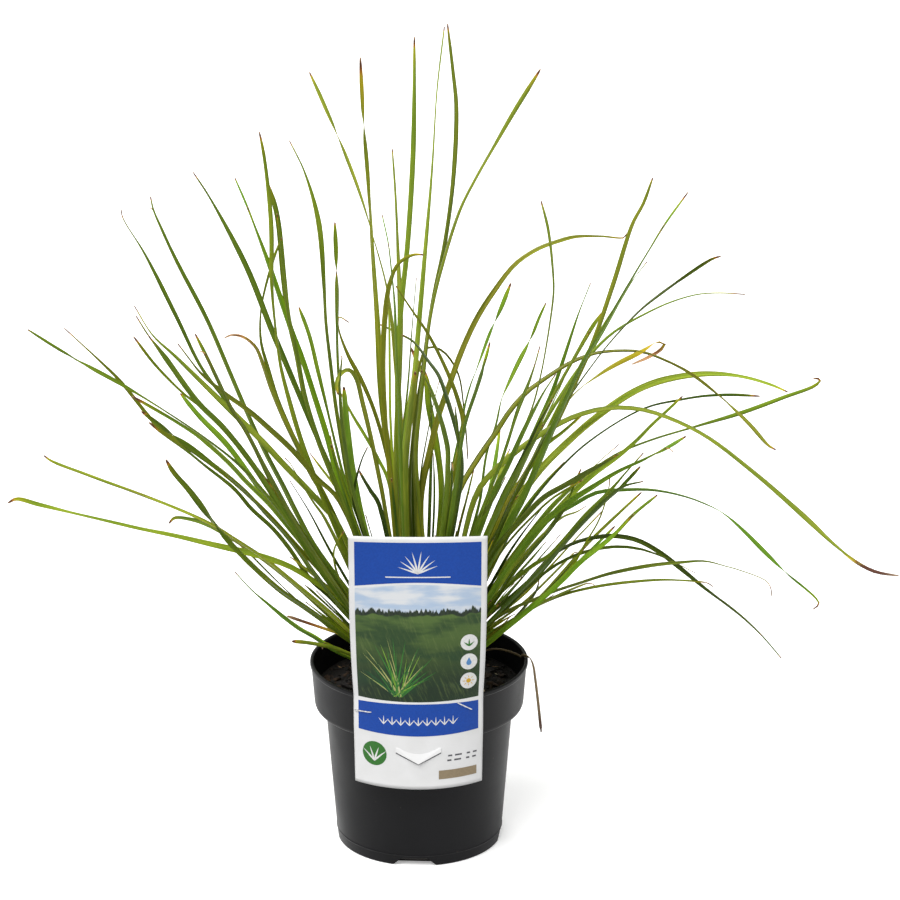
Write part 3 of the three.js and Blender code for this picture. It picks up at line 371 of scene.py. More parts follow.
    (130, 5, "mid", (20, 30, 40), (148, 293, 138, 285, 118, 273, 102, 263, 86, 253, 73, 239, 60, 224,
        50, 210)),
    (150, 2.8, "olive", (40, 50, 60), (138, 292, 127, 282, 118, 273, 104, 260, 88, 243)),
    (-80, 4.2, "mid", (30, 40, 40), (155, 286, 145, 274, 131, 257, 115, 240, 99, 220, 90, 210, 82, 205,
        73, 198, 63, 189, 49, 174)),
    (40, 4.4, "dark", (20, 40, 50), (153, 276, 138, 259, 128, 249, 112, 232, 99, 216, 87, 200, 78, 190,
        62, 172, 48, 158)),
    (110, 3.6, "dark", (40, 40, 40), (155, 265, 141, 261, 130, 252, 115, 236, 100, 218, 85, 200)),
    (-30, 4.6, "light", (10, 20, 40), (154, 257, 139, 242, 118, 220, 102, 200, 86, 181, 70, 165,
        54, 151)),
    (50, 4.6, "fresh", (20, 20, 50), (165, 255, 149, 241, 133, 223, 113, 206, 100, 192, 86, 178, 68, 162,
        52, 148)),
    (100, 4, "fresh", (30, 30, 40), (136, 232, 122, 217, 104, 198, 90, 184, 72, 167)),
    (-60, 4.6, "dark", (40, 20, 60), (112, 274, 109, 267, 102, 248, 93, 233, 78, 214, 66, 198, 56, 181)),
    (60, 4.4, "mid", (20, 20, 50), (113, 314, 99, 301, 87, 291, 75, 272, 61, 250)),
    (80, 2.6, "olive", (40, 40, 60), (116, 247, 110, 243, 100, 239, 88, 228, 74, 212)),
    (130, 2.8, "olive", (40, 40, 60), (127, 243, 112, 226, 100, 212, 88, 198, 74, 182)),
    (20, 2.4, "olive", (40, 40, 60), (132, 268, 131, 258, 125, 237, 115, 218, 109, 206, 100, 194,
        86, 178)),
    (60, 3, "dark", (30, 40, 60), (84, 193, 82, 184, 77, 176, 64, 160)),
    (-20, 2.6, "olive", (30, 30, 40), (64, 165, 60, 160, 52, 153)),
    (30, 5, "fresh", (10, 20, 30), (110, 267, 100, 255, 92, 246, 85, 237, 72, 218, 58, 196)),
    (140, 3.6, "light", (30, 30, 40), (63, 289, 60, 282, 57, 272, 52, 258, 46, 242)),
    (200, 3.8, "fresh", (30, 30, 40), (56, 305, 55, 295, 53, 280, 50, 262, 46, 245)),
    (-110, 4.6, "dark", (20, 20, 30), (92, 325, 83, 308, 75, 290, 66, 270, 56, 248)),
    (-140, 4.6, "mid", (20, 20, 30), (86, 307, 78, 292, 70, 276, 60, 256)),
    (-150, 4.2, "dark", (20, 20, 30), (60, 268, 54, 256, 48, 246, 42, 238)),
    (-120, 3.8, "olive", (20, 30, 30), (-92, 282, -89, 279, -80, 262, -73, 250, -64, 236)),
    (120, 2.8, "olive", (30, 40, 50), (-75, 286, -65, 272, -58, 262, -52, 250)),
    (-70, 4.2, "fresh", (20, 30, 40), (-60, 292, -58, 283, -55, 272, -51, 258, -46, 240)),
    (-90, 3.2, "dark", (20, 30, 40), (-41, 273, -38, 267, -33, 258, -27, 247)),
    (-60, 2.6, "dark", (30, 40, 60), (-35, 290, -39, 281, -44, 262, -45, 250, -42, 238)),
    (220, 3.2, "mid", (30, 40, 50), (-52, 355, -53, 345, -54, 330, -53, 310, -50, 285, -46, 260)),
    (-40, 5, "fresh", (10, 20, 30), (-51, 334, -50, 318, -49, 300, -47, 282, -44, 262, -41, 245)),
    (-30, 4.4, "light", (20, 60, 30), (-258, 284, -253, 280, -229, 270, -199, 258, -177, 249, -159, 241,
        -142, 232, -125, 220, -108, 208, -92, 194, -74, 178, -58, 163)),
    (40, 5, "light", (20, 30, 40), (-284, 249, -278, 252, -263, 248, -241, 242, -217, 236, -193, 230,
        -170, 225, -146, 219, -111, 210, -90, 202, -76, 193, -60, 181, -48, 170)),
    (-60, 4.8, "mid", (20, 20, 40), (-174, 281, -169, 272, -158, 258, -138, 229, -125, 213, -112, 199,
        -95, 183, -80, 172, -62, 158, -50, 148)),
    (90, 4.2, "mid", (30, 30, 40), (-173, 234, -169, 238, -158, 237, -146, 233, -122, 218, -110, 209,
        -95, 196, -80, 182, -66, 168)),
    (-10, 4, "fresh", (20, 30, 80), (-128, 198, -116, 184, -101, 170, -92, 162, -83, 155, -73, 149,
        -62, 141)),
    (30, 3.8, "olive", (30, 30, 40), (-92, 165, -84, 162, -73, 158, -62, 154, -52, 150)),
    (-25, 4.6, "olive", (30, 30, 20), (-89, 146, -79, 145, -68, 143, -57, 140)),
    (60, 2.8, "dark", (30, 40, 60), (-128, 222, -117, 211, -106, 199, -95, 187, -86, 178, -77, 169,
        -64, 157)),
    (-50, 3.6, "mid", (30, 40, 50), (-190, 316, -165, 296, -150, 284, -135, 272, -119, 257, -105, 240,
        -96, 230, -84, 214, -72, 196)),
    (20, 4.6, "mid", (20, 30, 40), (-185, 308, -165, 292, -148, 277, -127, 259, -116, 245, -101, 230,
        -89, 214, -76, 193, -60, 177)),
    (150, 4.6, "mid", (20, 30, 40), (-5, 362, 2, 346, 11, 325, 18, 299, 20, 288, 20, 275, 19, 253)),
    (90, 6.2, "mid", (20, 20, 40), (4, 346, 6, 337, 7, 323, 11, 301, 15, 275, 16, 253)),
    (180, 4.2, "dark", (30, 40, 70), (-27, 379, -11, 371, -3, 366, 8, 351, 14, 342, 21, 321, 27, 299,
        30, 278, 28, 255)),
    (60, 3.6, "dark", (30, 40, 40), (8, 332, 9, 310, 9, 288, 8, 253)),
    (-110, 3.8, "olive", (20, 30, 40), (-2, 345, -3, 336, -4, 326, -7, 300, -9, 270)),
    (-60, 3.2, "yellow", (20, 30, 40), (31, 277, 30, 268, 27, 255, 22, 240)),
    (-60, 2.4, "olive", (30, 40, 60), (-52, 228, -57, 219, -59, 212, -57, 198, -50, 182, -44, 170)),
]

# How wide a blade looks at these shares of its length, and how long its dead tip is, by its place in the
# readings.
seenShares = (0.95, 0.85, 0.7, 0.5, 0.3)
seenWidths = {
    0: (1.9, 2.8, 0.9, 1.8, 2.4), 1: (0.8, 2.4, 2.8, 2.6, 2.5), 2: (2.2, 2.2, 1.2, 2.4, 2.6),
    3: (0.7, 2.5, 4.1, 4, 3.4), 4: (1, 2.9, 3, 3, 2.9), 5: (2, 1.5, 2.4, 2.6, 2.5),
    6: (3.2, 4, 3.6, 3.2, 3), 7: (0.9, 2.9, 3.7, 3.1, 2.5), 8: (2.5, 2.5, 2.2, 2.6, 2.5),
    9: (0.7, 2.9, 2.2, 2.2, 2.5), 10: (1.3, 2.6, 2.3, 2.1, 2.5), 11: (1.2, 3.6, 4, 3, 3),
    12: (1.5, 0.6, 3.6, 0.6, 1.6), 13: (2.2, 3.2, 1.4, 3.4, 3), 14: (3.6, 4.2, 3.2, 3.6, 3),
    15: (1.8, 1, 3, 2.6, 2.5), 16: (1.9, 2.8, 3.6, 3.1, 2.5), 17: (1, 3.8, 2, 2.6, 2.6),
    18: (3.2, 3, 0.7, 1.6, 2.2), 19: (2.8, 3, 1.6, 2.2, 2.4), 20: (0.8, 2.9, 2.6, 2.5, 2.5),
    21: (2.6, 3.1, 3, 2.8, 2.7), 22: (1.6, 2.4, 2.4, 2.4, 2.2), 23: (2.6, 2.4, 0.8, 3.6, 3.2),
    24: (2.6, 2.8, 1, 4, 3.6), 25: (1.4, 1.8, 4, 3.4, 3), 26: (0.8, 1.1, 2.8, 2.6, 2.5),
    27: (2, 3.5, 3.5, 3.3, 3), 28: (0.9, 0.6, 2, 3.4, 3), 29: (2.1, 3.2, 2.8, 2.3, 2.5),
    30: (3, 1.8, 1.6, 2, 2.6), 31: (2.2, 3.6, 3.5, 2.8, 2.5), 32: (1.1, 2, 2.8, 2.6, 2.5),
    33: (1, 1, 1.6, 1.9, 2), 34: (1.2, 0.5, 3.6, 2.8, 2.8), 35: (3.1, 2.2, 1.1, 2.6, 2.5),
    36: (2.2, 0.8, 2.4, 2.6, 2.6), 37: (2, 3.2, 1.2, 1.8, 2.4), 38: (1, 2.9, 1.8, 2.3, 2.4),
    39: (1.9, 1.2, 0.8, 1.4, 2.1), 40: (1, 2.4, 2.8, 2.6, 2.5), 41: (0.6, 2.3, 3, 2.6, 2.5),
    42: (2.9, 2.1, 2.4, 2.6, 2.5), 43: (2.1, 3.1, 3, 3.1, 2.9), 44: (1.4, 0.6, 3.6, 4, 3.6),
    45: (0.4, 3, 3.2, 3, 2.9), 46: (2.2, 0.5, 0.6, 1.6, 2.4), 47: (0.7, 1.1, 2.1, 2.5, 2.4),
    48: (2.6, 2, 0.6, 2.2, 2.4), 49: (2.2, 3.3, 0.8, 1.5, 2.3), 50: (1.9, 2.2, 3.2, 1.8, 2.4),
    51: (2.4, 3, 1.2, 1.6, 2.4), 52: (2.6, 2, 0.4, 1.5, 2.4), 53: (1.9, 1.4, 0.9, 1.5, 2.2),
    54: (2.4, 3.6, 1, 1.5, 2.4), 55: (1.4, 3, 0.9, 2.7, 3), 56: (0.8, 1.6, 2.9, 0.7, 1.1),
    57: (0.5, 0.6, 2.6, 1.8, 2.2), 58: (0.7, 1.2, 2, 1.2, 1.7), 59: (1.9, 2.4, 3.8, 3.2, 3),
    60: (0.5, 0.5, 1.5, 3, 3), 61: (0.5, 0.5, 1.2, 1.8, 1.8), 62: (0.9, 1.5, 1.8, 2.2, 2.4),
    63: (2.4, 1.1, 1.6, 1.4, 2), 64: (1.3, 1.7, 1.9, 2.3, 2.2), 65: (1.6, 2.1, 2.1, 1.5, 1.9),
    66: (2, 2.5, 2.4, 2.2, 2.4), 67: (1.8, 2.1, 2, 2.3, 2.2), 68: (1.4, 2.6, 0.6, 1.8, 2.4),
    69: (2, 2.8, 2.8, 2.8, 2.8), 71: (1, 1, 1.4, 1.6, 1.8), 72: (0.7, 1, 1, 1.2, 1.4),
    74: (0.6, 1.2, 1.6, 1.8, 2), 75: (1.6, 3, 3.4, 3, 3), 77: (2.1, 3.1, 3, 2.8, 2.5),
    81: (0.4, 1, 2.2, 2.6, 2.6), 83: (1.8, 3.1, 3.2, 3, 2.7), 84: (2, 3, 3, 2.6, 2.6),
    85: (0.9, 1.7, 1.9, 1.8, 1.8), 86: (1.4, 1.5, 2, 2.6, 2.5), 87: (3.4, 5, 4.5, 3.9, 3.4),
    88: (2, 2, 1.7, 1, 2.2), 89: (3, 1.6, 2.4, 4.3, 3.4), 90: (3.3, 4.2, 3.6, 0.9, 2.8),
    91: (2.3, 3.3, 3.3, 2.4, 2.6), 92: (0.6, 0.8, 2.4, 1.6, 2.2), 93: (2.1, 2, 2, 2.1, 2.2),
    94: (2.6, 2.6, 2.4, 2.4, 2.6), 95: (1.2, 1.2, 0.5, 1, 1.5), 96: (3, 4.2, 1.2, 1.8, 2.2),
    97: (3, 1.5, 2.6, 3, 3), 98: (2.7, 3.1, 2.2, 2.8, 2.5), 99: (3.9, 5, 4.1, 3.5, 3),
    100: (1.3, 1.7, 3.2, 2.8, 2.5), 102: (2.9, 3.6, 3.7, 3.3, 2.9), 104: (0.9, 1, 1, 1.1, 1.2),
}
deadTips = {
    1: 8, 3: 6, 4: 5, 6: 2, 7: 4, 8: 4, 9: 7, 10: 3, 12: 2, 13: 6, 14: 5, 16: 27, 18: 2, 19: 2.5, 23: 3,
    24: 13, 29: 5, 30: 6, 31: 3, 37: 2, 38: 5, 39: 3, 43: 2, 45: 2, 46: 5, 47: 10, 48: 3, 49: 26, 50: 3,
    51: 6, 52: 3, 53: 6, 54: 35, 55: 7, 56: 3, 57: 10, 58: 8, 59: 3, 62: 4, 63: 3, 68: 4, 81: 6, 84: 5,
    88: 3, 89: 6, 90: 5, 91: 4, 93: 30, 94: 3, 98: 8,
}
deadKinds = {16: "tan", 49: "tan", 54: "brown"}


# Leaves: the same readings and the same rule as the solids, with finer blades

readingPoint = Vector((21.7, -2638, 1220))  # where the readings were taken from
clump = {
    "shoots": 12, "inner": 10, "outer": 29, "foot": 101, "neck": 121, "soil": 114, "stations": 8,
    "room": 0.4,
    "sideFrom": 30, "sideOver": 70, "outBend": 1.5,  # how a leaf's depth grows along it
    "trialInset": 3, "inset": 2.5, "fullLean": 120,  # where in its shoot a leaf stands, by how it leans
    "swing": 10, "ownSwings": 4, "anySwings": 11,  # how far back or forth a tip may go to find room
    "farShare": -0.8, "farBack": 70, "farFront": -40, "farShorter": 0.85, "farLeast": 10,
}
keepOff = {"wall": 66, "rim": 81.4, "potTop": 137, "soilTop": 117,
           "labelHalf": 51, "labelDepths": (-92, -70), "labelTop": 258}
sectorWidth = 360 / clump["shoots"]


def placeAt(across, height, depth):  # a reading pushed back along its line of sight to a depth
    k = 1 - depth / readingPoint.y
    return Vector((readingPoint.x + (across - readingPoint.x) * k, depth,
                   readingPoint.z + (height - readingPoint.z) * k))


def spread(path, depth, cut):  # a route from its foot up, with a depth for each point
    pairs = [(path[i], path[i + 1]) for i in range(len(path) - 2, -1, -2)]
    kept = max(3, math.ceil(len(pairs) * cut))
    reached = [math.hypot(pairs[0][0], pairs[0][1] - clump["soil"])]
    for a, b in zip(pairs, pairs[1:]):
        reached.append(reached[-1] + math.hypot(b[0] - a[0], b[1] - a[1]))
    tip = pairs[-1][0]
    sideways = clamp((abs(tip) - clump["sideFrom"]) / clump["sideOver"])
    shares = [sideways * (across / (tip or 1)) + (1 - sideways) * (far / reached[-1]) ** clump["outBend"]
              for (across, _), far in zip(pairs, reached)]
    return [placeAt(across, height, depth * share) for (across, height), share in zip(pairs, shares)][:kept]


def sectorAngle(sector):
    return (sector + 0.5) * sectorWidth * degree


def sectorWays(sector):  # outward and crosswise in a shoot
    angle = sectorAngle(sector)
    return Vector((math.cos(angle), math.sin(angle), 0)), Vector((-math.sin(angle), math.cos(angle), 0))


def sectorOf(points):
    angle = math.atan2(sum(p.y for p in points), sum(p.x for p in points)) / degree % 360
    return int(angle // sectorWidth) % clump["shoots"]


def roundCurve(points, steps=8):  # a centripetal curve through the points, with a few steps for each
    ends = [points[0] * 2 - points[1], *points, points[-1] * 2 - points[-2]]
    fine = []
    for i in range(1, len(ends) - 2):
        p = ends[i - 1:i + 3]
        gaps = [max((p[j + 1] - p[j]).length, 1e-8) ** 0.5 for j in range(3)]
        a = (p[1] - p[0]) / gaps[0] - (p[2] - p[0]) / (gaps[0] + gaps[1]) + (p[2] - p[1]) / gaps[1]
        b = (p[2] - p[1]) / gaps[1] - (p[3] - p[1]) / (gaps[1] + gaps[2]) + (p[3] - p[2]) / gaps[2]
        a, b = a * gaps[1], b * gaps[1]
        for k in range(steps):
            t = k / steps
            cubic = (p[1] - p[2]) * 2 + a + b
            square = (p[2] - p[1]) * 3 - a * 2 - b
            fine.append(p[1] + a * t + square * t * t + cubic * t ** 3)
    return [*fine, points[-1]]


def fineLine(points, sector, radius):
    angle = sectorAngle(sector)
    foot = Vector((radius * math.cos(angle), radius * math.sin(angle), clump["foot"]))
    neck = Vector((foot.x, foot.y, clump["neck"]))
    return roundCurve([foot, neck, *points])


def stationsOf(fine):  # the few points that the solids' blades bend at
    places = np.array(fine)
    stations = [0, len(fine) - 1]
    while len(stations) < clump["stations"]:
        worst, at = -1, 0
        for low, high in zip(stations, stations[1:]):
            if high - low < 2:
                continue
            a, b = places[low], places[high]
            line = b - a
            along = places[low + 1:high] - a
            off = np.linalg.norm(along - np.outer(along @ line / (line @ line), line), axis=1)
            back = places[low + 1:high] - b
            near = np.minimum(np.linalg.norm(along, axis=1), np.linalg.norm(back, axis=1))
            bow = off + 0.03 * near
            if bow.max() > worst:
                worst, at = bow.max(), low + 1 + int(bow.argmax())
        stations = sorted([*stations, at])
    return places[stations]


def lean(points):
    first = points[0]
    return math.hypot(first.x, first.y) / max(8, first.z - clump["soil"]) * 90


# The least space from one leaf to each other's line, less what the blades need.
def roomBetween(one, others, widths, start):
    need = (one["width"] + widths) / 2 + clump["room"]
    p, r = one["line"][start:-1][None, :, None], others[:, start:-1][:, None]
    u = one["line"][start + 1:][None, :, None] - p
    v = others[:, start + 1:][:, None] - r
    w = p - r
    a, b, c = (u * u).sum(-1), (u * v).sum(-1), (v * v).sum(-1)
    d, e = (u * w).sum(-1), (v * w).sum(-1)
    area = a * c - b * b
    m = np.where(area > 1e-9, np.clip((b * e - c * d) / np.where(area > 1e-9, area, 1), 0, 1), 0)
    n = np.clip((b * m + e) / c, 0, 1)
    m = np.clip((b * n - d) / a, 0, 1)
    apart = np.linalg.norm(w + u * m[..., None] - v * n[..., None], axis=-1)
    return apart.min(axis=(1, 2)) - need


def clearOfPot(line):
    front, back = keepOff["labelDepths"]
    for i in range(1, len(line) - 1):
        for t in np.arange(11) / 10:
            x, y, z = line[i] + (line[i + 1] - line[i]) * t
            r = math.hypot(x, y)
            inWall = keepOff["wall"] < r < keepOff["rim"] and z < keepOff["potTop"]
            inLabel = abs(x) < keepOff["labelHalf"] and front < y < back and z < keepOff["labelTop"]
            inSoil = r < keepOff["wall"] and z < keepOff["soilTop"] and i > 1
            if inWall or inLabel or inSoil:
                return False
    return True


leaves = []


def meetsAnother(leaf, own):
    if not leaves:
        return False
    lines = np.array([other["line"] for other in leaves])
    widths = np.array([other["width"] for other in leaves])
    same = np.array([other["sector"] == leaf["sector"] for other in leaves])
    if (~same).any() and roomBetween(leaf, lines[~same], widths[~same], 1).min() < 0:
        return True
    return bool(own and same.any() and roomBetween(leaf, lines[same], widths[same], 3).min() < 0)


def standAt(share, inset):  # a leaf's place in its shoot, as a distance from the axis
    return mix(clump["inner"] + inset, clump["outer"] - inset, share)


def addLeaf(depth, width, look, turns, path, cut=1, reading=None):
    for own, swings in ((True, clump["ownSwings"]), (False, clump["anySwings"])):
        for swing in range(swings + 1):
            for sign in (1, -1) if swing else (1,):
                points = spread(path, depth + sign * swing * clump["swing"], cut)
                home = sectorOf(points)
                radius = standAt(clamp(lean(points) / clump["fullLean"]), clump["trialInset"])
                for turn in (0, 1, -1):
                    sector = (home + turn) % clump["shoots"]
                    line = stationsOf(fineLine(points, sector, radius))
                    leaf = {"width": width, "look": look, "turns": turns, "reading": reading,
                            "sector": sector, "points": points, "line": line}
                    if clearOfPot(line) and not meetsAnother(leaf, own):
                        leaves.append(leaf)
                        return


def leavesOf(sector):  # the steepest first
    own = [leaf for leaf in leaves if leaf["sector"] == sector]
    return sorted(own, key=lambda leaf: lean(leaf["points"]))


def growLeaves():
    for i, reading in enumerate(readings):
        addLeaf(*reading, reading=i)
    for depth, width, look, turns, path in readings[::2]:  # the far side of the clump
        far = clump["farShare"] * depth + clump["farFront" if depth > 0 else "farBack"]
        if len(path) > clump["farLeast"]:
            addLeaf(far, width, look, turns, path, clump["farShorter"])
    for order, leaf in enumerate(leaves):
        leaf["order"] = order
    for sector in range(clump["shoots"]):
        own = leavesOf(sector)
        for rank, leaf in enumerate(own):
            radius = standAt((rank + 0.5) / len(own), clump["inset"])
            leaf["fine"] = fineLine(leaf["points"], sector, radius)


growLeaves()
print("leaves placed:", len(leaves))

# Leaf blades

blade = {
    "rows": 60, "columns": 6, "crowding": 1.35,  # rows stand closer towards the tip
    "thickness": 0.36, "rootWidth": 3.6, "tipWidth": 0.7, "slender": 0.84, "waver": 0.05,
    "fold": 0.42, "rootFold": 0.5, "flatWhenEdgeOn": 0.25,
    "sheathWidth": 6.5, "sheathShare": 0.07,
    "hookShare": 0.06, "bluntShare": 0.55, "bluntTaper": (0.05, 0.15), "longTaper": (0.16, 0.38),
    "taperBend": 0.72, "tipShare": 0.035, "tipBend": 0.6,
    "seenSpare": 1.04, "seenSlender": 0.72, "seenMost": 1.1, "waist": 68,
    "shade": (0.7, 1.25), "warmth": 0.03, "dull": 0.07,
    "deadTip": (1.5, 4.5), "longDeadTip": (4, 9), "longShare": 0.3,
}
turnShares = (0.7, 0.35)
deadMarks = {"banded": 0, "brown": 0.5, "tan": 1}
lookColours = {
    "light": (0.280, 0.360, 0.022),
    "mid": (0.150, 0.222, 0.006),
    "fresh": (0.170, 0.305, 0.008),
    "dark": (0.066, 0.112, 0.003),
    "olive": (0.205, 0.243, 0.011),
    "yellow": (0.430, 0.450, 0.020),
}


def widthAt(share, width, taper):
    full = mix(min(blade["rootWidth"], width), width, clamp(share / 0.3)) * blade["slender"]
    return max(blade["tipWidth"], full * clamp((1 - share) / taper) ** blade["taperBend"])


def between(share, places, values, ease=float):  # places run down from the tip to the root
    for i in range(len(places) - 1):
        low, high = places[i + 1], places[i]
        if share >= low:
            return mix(values[i + 1], values[i], ease((share - low) / (high - low)))
    return values[-1]


def shapeAsSeen(leaf):  # a blade only narrows to its tip; where it looks narrower than that, it is turned
    widest, widths, turns = 0, [], []
    for share, seen in zip(seenShares, seenWidths[leaf["reading"]]):
        least = leaf["width"] * blade["seenSlender"] if share < 0.6 else 0
        widest = min(max(widest, seen * blade["seenSpare"], least), leaf["width"] * blade["seenMost"])
        widths.append(widest)
        turns.append(math.acos(min(1, seen / widest)) / degree)
    past = False
    for i in range(len(turns) - 2, -1, -1):  # from the root up, a blade that is edge on turns on past it
        if turns[i + 1] > blade["waist"] > turns[i]:
            past = not past
        if past:
            turns[i] = 180 - turns[i]
    return widths, turns


class Path:  # a line of points that can be read at any share of its length
    def __init__(self, points):
        self.points = np.array(points, float)
        steps = np.linalg.norm(np.diff(self.points, axis=0), axis=1)
        self.reached = np.concatenate([[0], np.cumsum(steps)])
        self.length = self.reached[-1]

    def at(self, share):
        far = clamp(share) * self.length
        return Vector([np.interp(far, self.reached, self.points[:, k]) for k in range(3)])

    def along(self, share, reach=0.012):
        return (self.at(share + reach) - self.at(share - reach)).normalized()


# Finer leaves between two others of a shoot, as far up as those two stay close.
young = {"cuts": (0.85, 0.7, 0.55, 0.4, 0.3), "reach": 34, "steps": 24, "width": (1.5, 2.9),
         "length": (0.85, 1), "side": (0.3, 0.7)}


def addYoung(first, second, draw):
    a, b = Path(first["fine"]), Path(second["fine"])
    side = draw.uniform(*young["side"])
    for cut in young["cuts"]:
        if (a.at(cut) - b.at(cut)).length < young["reach"]:
            shares = np.linspace(0, cut * draw.uniform(*young["length"]), young["steps"])
            fine = [a.at(share).lerp(b.at(share), side) for share in shares]
            width = draw.uniform(*young["width"])
            look = draw.choice((first["look"], "dark", "mid"))
            leaves.append({"width": width, "look": look, "turns": second["turns"], "reading": None,
                           "sector": first["sector"], "fine": fine, "order": len(leaves)})
            return


def growYoung():
    draw = random.Random(7)
    for sector in range(clump["shoots"]):
        own = leavesOf(sector)
        for first, second in zip(own, own[1:]):
            addYoung(first, second, draw)


growYoung()
print("with the young leaves:", len(leaves))


def strapMesh():
    bm = bmesh.new()
    bm.verts.layers.float_color.new("tint")
    bm.verts.layers.float_color.new("traits")
    bm.loops.layers.uv.new("UVMap")
    return bm


# A strap along a path. At each share of its length halfAt gives half its width, and frameAt gives the way
# across, the way out and how far it is folded.
def addStrap(bm, path, halfAt, frameAt, rows, columns, tint=(1, 1, 1), traits=(0, 0, 0, 0)):
    layers = bm.verts.layers.float_color
    uvLayer = bm.loops.layers.uv["UVMap"]
    made = bmesh.ops.create_grid(bm, x_segments=columns, y_segments=rows, size=0.5)["verts"]
    where = {}
    bands = {}
    for vert in made:
        u, v = round(vert.co.x + 0.5, 5), round(vert.co.y + 0.5, 5)
        where[vert] = (u, v)
        bands.setdefault(v, []).append(vert)
    for v, row in bands.items():
        share = 1 - (1 - v) ** blade["crowding"]
        middle = path.at(share)
        across, out, fold = frameAt(share)
        half = halfAt(share)
        for vert in row:
            side = 2 * where[vert][0] - 1
            rise = fold * half * (abs(side) ** 1.3 - 0.4)
            where[vert] = (where[vert][0], share)
            vert.co = (middle + across * (side * half) + out * rise) * mm
            vert[layers["tint"]] = (*tint, 1)
            vert[layers["traits"]] = traits
    for face in {face for vert in made for face in vert.link_faces}:
        for loop in face.loops:
            loop[uvLayer].uv = where[loop.vert]


hook = {"steps": 7, "step": (0.7, 1.4), "curl": (8, 24), "swing": 1.2, "upright": 0.97}


def hooked(fine, draw):  # the dead tip of some leaves curls over
    points = [Vector(p) for p in fine]
    ahead = (points[-1] - points[-3]).normalized()
    side = ahead.cross(up).normalized() if abs(ahead.z) < hook["upright"] else Vector((1, 0, 0))
    axis = Matrix.Rotation(draw.uniform(-hook["swing"], hook["swing"]), 3, ahead) @ side
    step, curl = draw.uniform(*hook["step"]), draw.uniform(*hook["curl"])
    for _ in range(hook["steps"]):
        ahead = Matrix.Rotation(-curl * degree, 3, axis) @ ahead
        points.append(points[-1] + ahead * step)
    return points


def addLeafBlade(bm, leaf, draw):
    curls = leaf["reading"] is None and draw.random() < blade["hookShare"]
    blunt = draw.random() < blade["bluntShare"]
    taper = draw.uniform(*blade["bluntTaper" if blunt else "longTaper"])
    seen = leaf["reading"] in seenWidths
    if seen:
        widths, turns = shapeAsSeen(leaf)
        widths = [widths[0], *widths, min(blade["rootWidth"], leaf["width"])]
        places, turns = [1, *seenShares, 0], [turns[0], *turns]
    else:
        places, turns = [1, *turnShares, 0], leaf["turns"][::-1]
    turns = [turn if leaf["order"] % 2 else -turn for turn in turns]
    path = Path(hooked(leaf["fine"], draw) if curls else leaf["fine"])
    _, crosswise = sectorWays(leaf["sector"])
    wobble = draw.uniform(0, 9)
    bend = draw.choice((-1, 1))

    def halfAt(share):
        sheath = mix(blade["sheathWidth"], 0, smoothStep(share / blade["sheathShare"]))
        edge = 1 + blade["waver"] * noise.noise((wobble, share * 22, 0))
        if seen:
            wide = between(share, places, widths)
            wide = mix(blade["tipWidth"], wide, clamp((1 - share) / blade["tipShare"]) ** blade["tipBend"])
        else:
            wide = widthAt(share, leaf["width"], taper)
        return max(wide * edge, sheath) / 2

    def turnOf(share, rootTurn):  # from across its shoot at the root to its own turns, the shorter way
        start = rootTurn + math.floor((turns[-1] - rootTurn) / 180 + 0.5) * 180
        return between(share, places, [*turns, start], smoothStep) * degree

    def frameAt(share):
        along = path.along(share)
        facing = along.cross(path.at(share) - readingPoint).normalized()
        away = along.cross(facing)
        rootTurn = math.atan2(crosswise.dot(away), crosswise.dot(facing)) / degree
        turn = turnOf(share, rootTurn)
        across = facing * math.cos(turn) + away * math.sin(turn)
        fold = blade["fold"] * mix(blade["flatWhenEdgeOn"], 1, abs(math.cos(turn)))
        return across, along.cross(across), bend * mix(blade["rootFold"], fold, smoothStep(share / 0.2))

    shade = draw.uniform(*blade["shade"])
    warmth = draw.uniform(-blade["warmth"], blade["warmth"])
    r, g, b = lookColours[leaf["look"]]
    dull = draw.uniform(0, blade["dull"]) * g
    tint = (r * shade * (1 + warmth * 4), g * shade, (b + dull) * shade)
    dead = draw.uniform(*blade["longDeadTip" if curls or draw.random() < blade["longShare"] else "deadTip"])
    dead = deadTips.get(leaf["reading"], dead)
    kind = deadKinds.get(leaf["reading"], draw.choice(("tan", "brown")) if curls else "banded")
    traits = (draw.random(), dead / path.length, draw.random(), deadMarks[kind])
    addStrap(bm, path, halfAt, frameAt, blade["rows"], blade["columns"], tint, traits)


# Old sheaths round each shoot's foot, and the close-set heart that they clasp

sheath = {"count": 9, "rows": 8, "low": 104, "tall": (14, 34), "width": (5, 9), "lean": 0.16, "bow": 0.8,
          "scatter": 0.25, "ring": 0.47, "clear": 1.0, "fold": -0.45}
sheathTints = [(0.30, 0.20, 0.09), (0.42, 0.34, 0.16), (0.16, 0.09, 0.04), (0.50, 0.46, 0.27)]


def halfSector(r, clear):
    return r * math.tan(sectorWidth * 0.5 * degree) - clear


def addSheath(bm, sector, turn, draw):
    outward, crosswise = sectorWays(sector)
    r = mix(clump["inner"], clump["outer"], 0.5 + sheath["ring"] * math.cos(turn))
    side = math.sin(turn) * halfSector(r, sheath["clear"])
    foot = outward * r + crosswise * side + Vector((0, 0, sheath["low"]))
    away = (outward * math.cos(turn) + crosswise * math.sin(turn)).normalized()
    tall = draw.uniform(*sheath["tall"])
    tip = foot + up * tall + away * tall * sheath["lean"]
    path = Path(roundCurve([foot, foot.lerp(tip, 0.5) - away * sheath["bow"], tip]))
    half = draw.uniform(*sheath["width"]) / 2
    across = up.cross(away)
    tint = draw.choice(sheathTints)
    traits = (draw.random(), 0.02, 0.9, 0)
    addStrap(bm, path, lambda share: half * (1 - 0.85 * share ** 2) + 0.2,
             lambda share: (across, away, sheath["fold"]), sheath["rows"], blade["columns"], tint, traits)


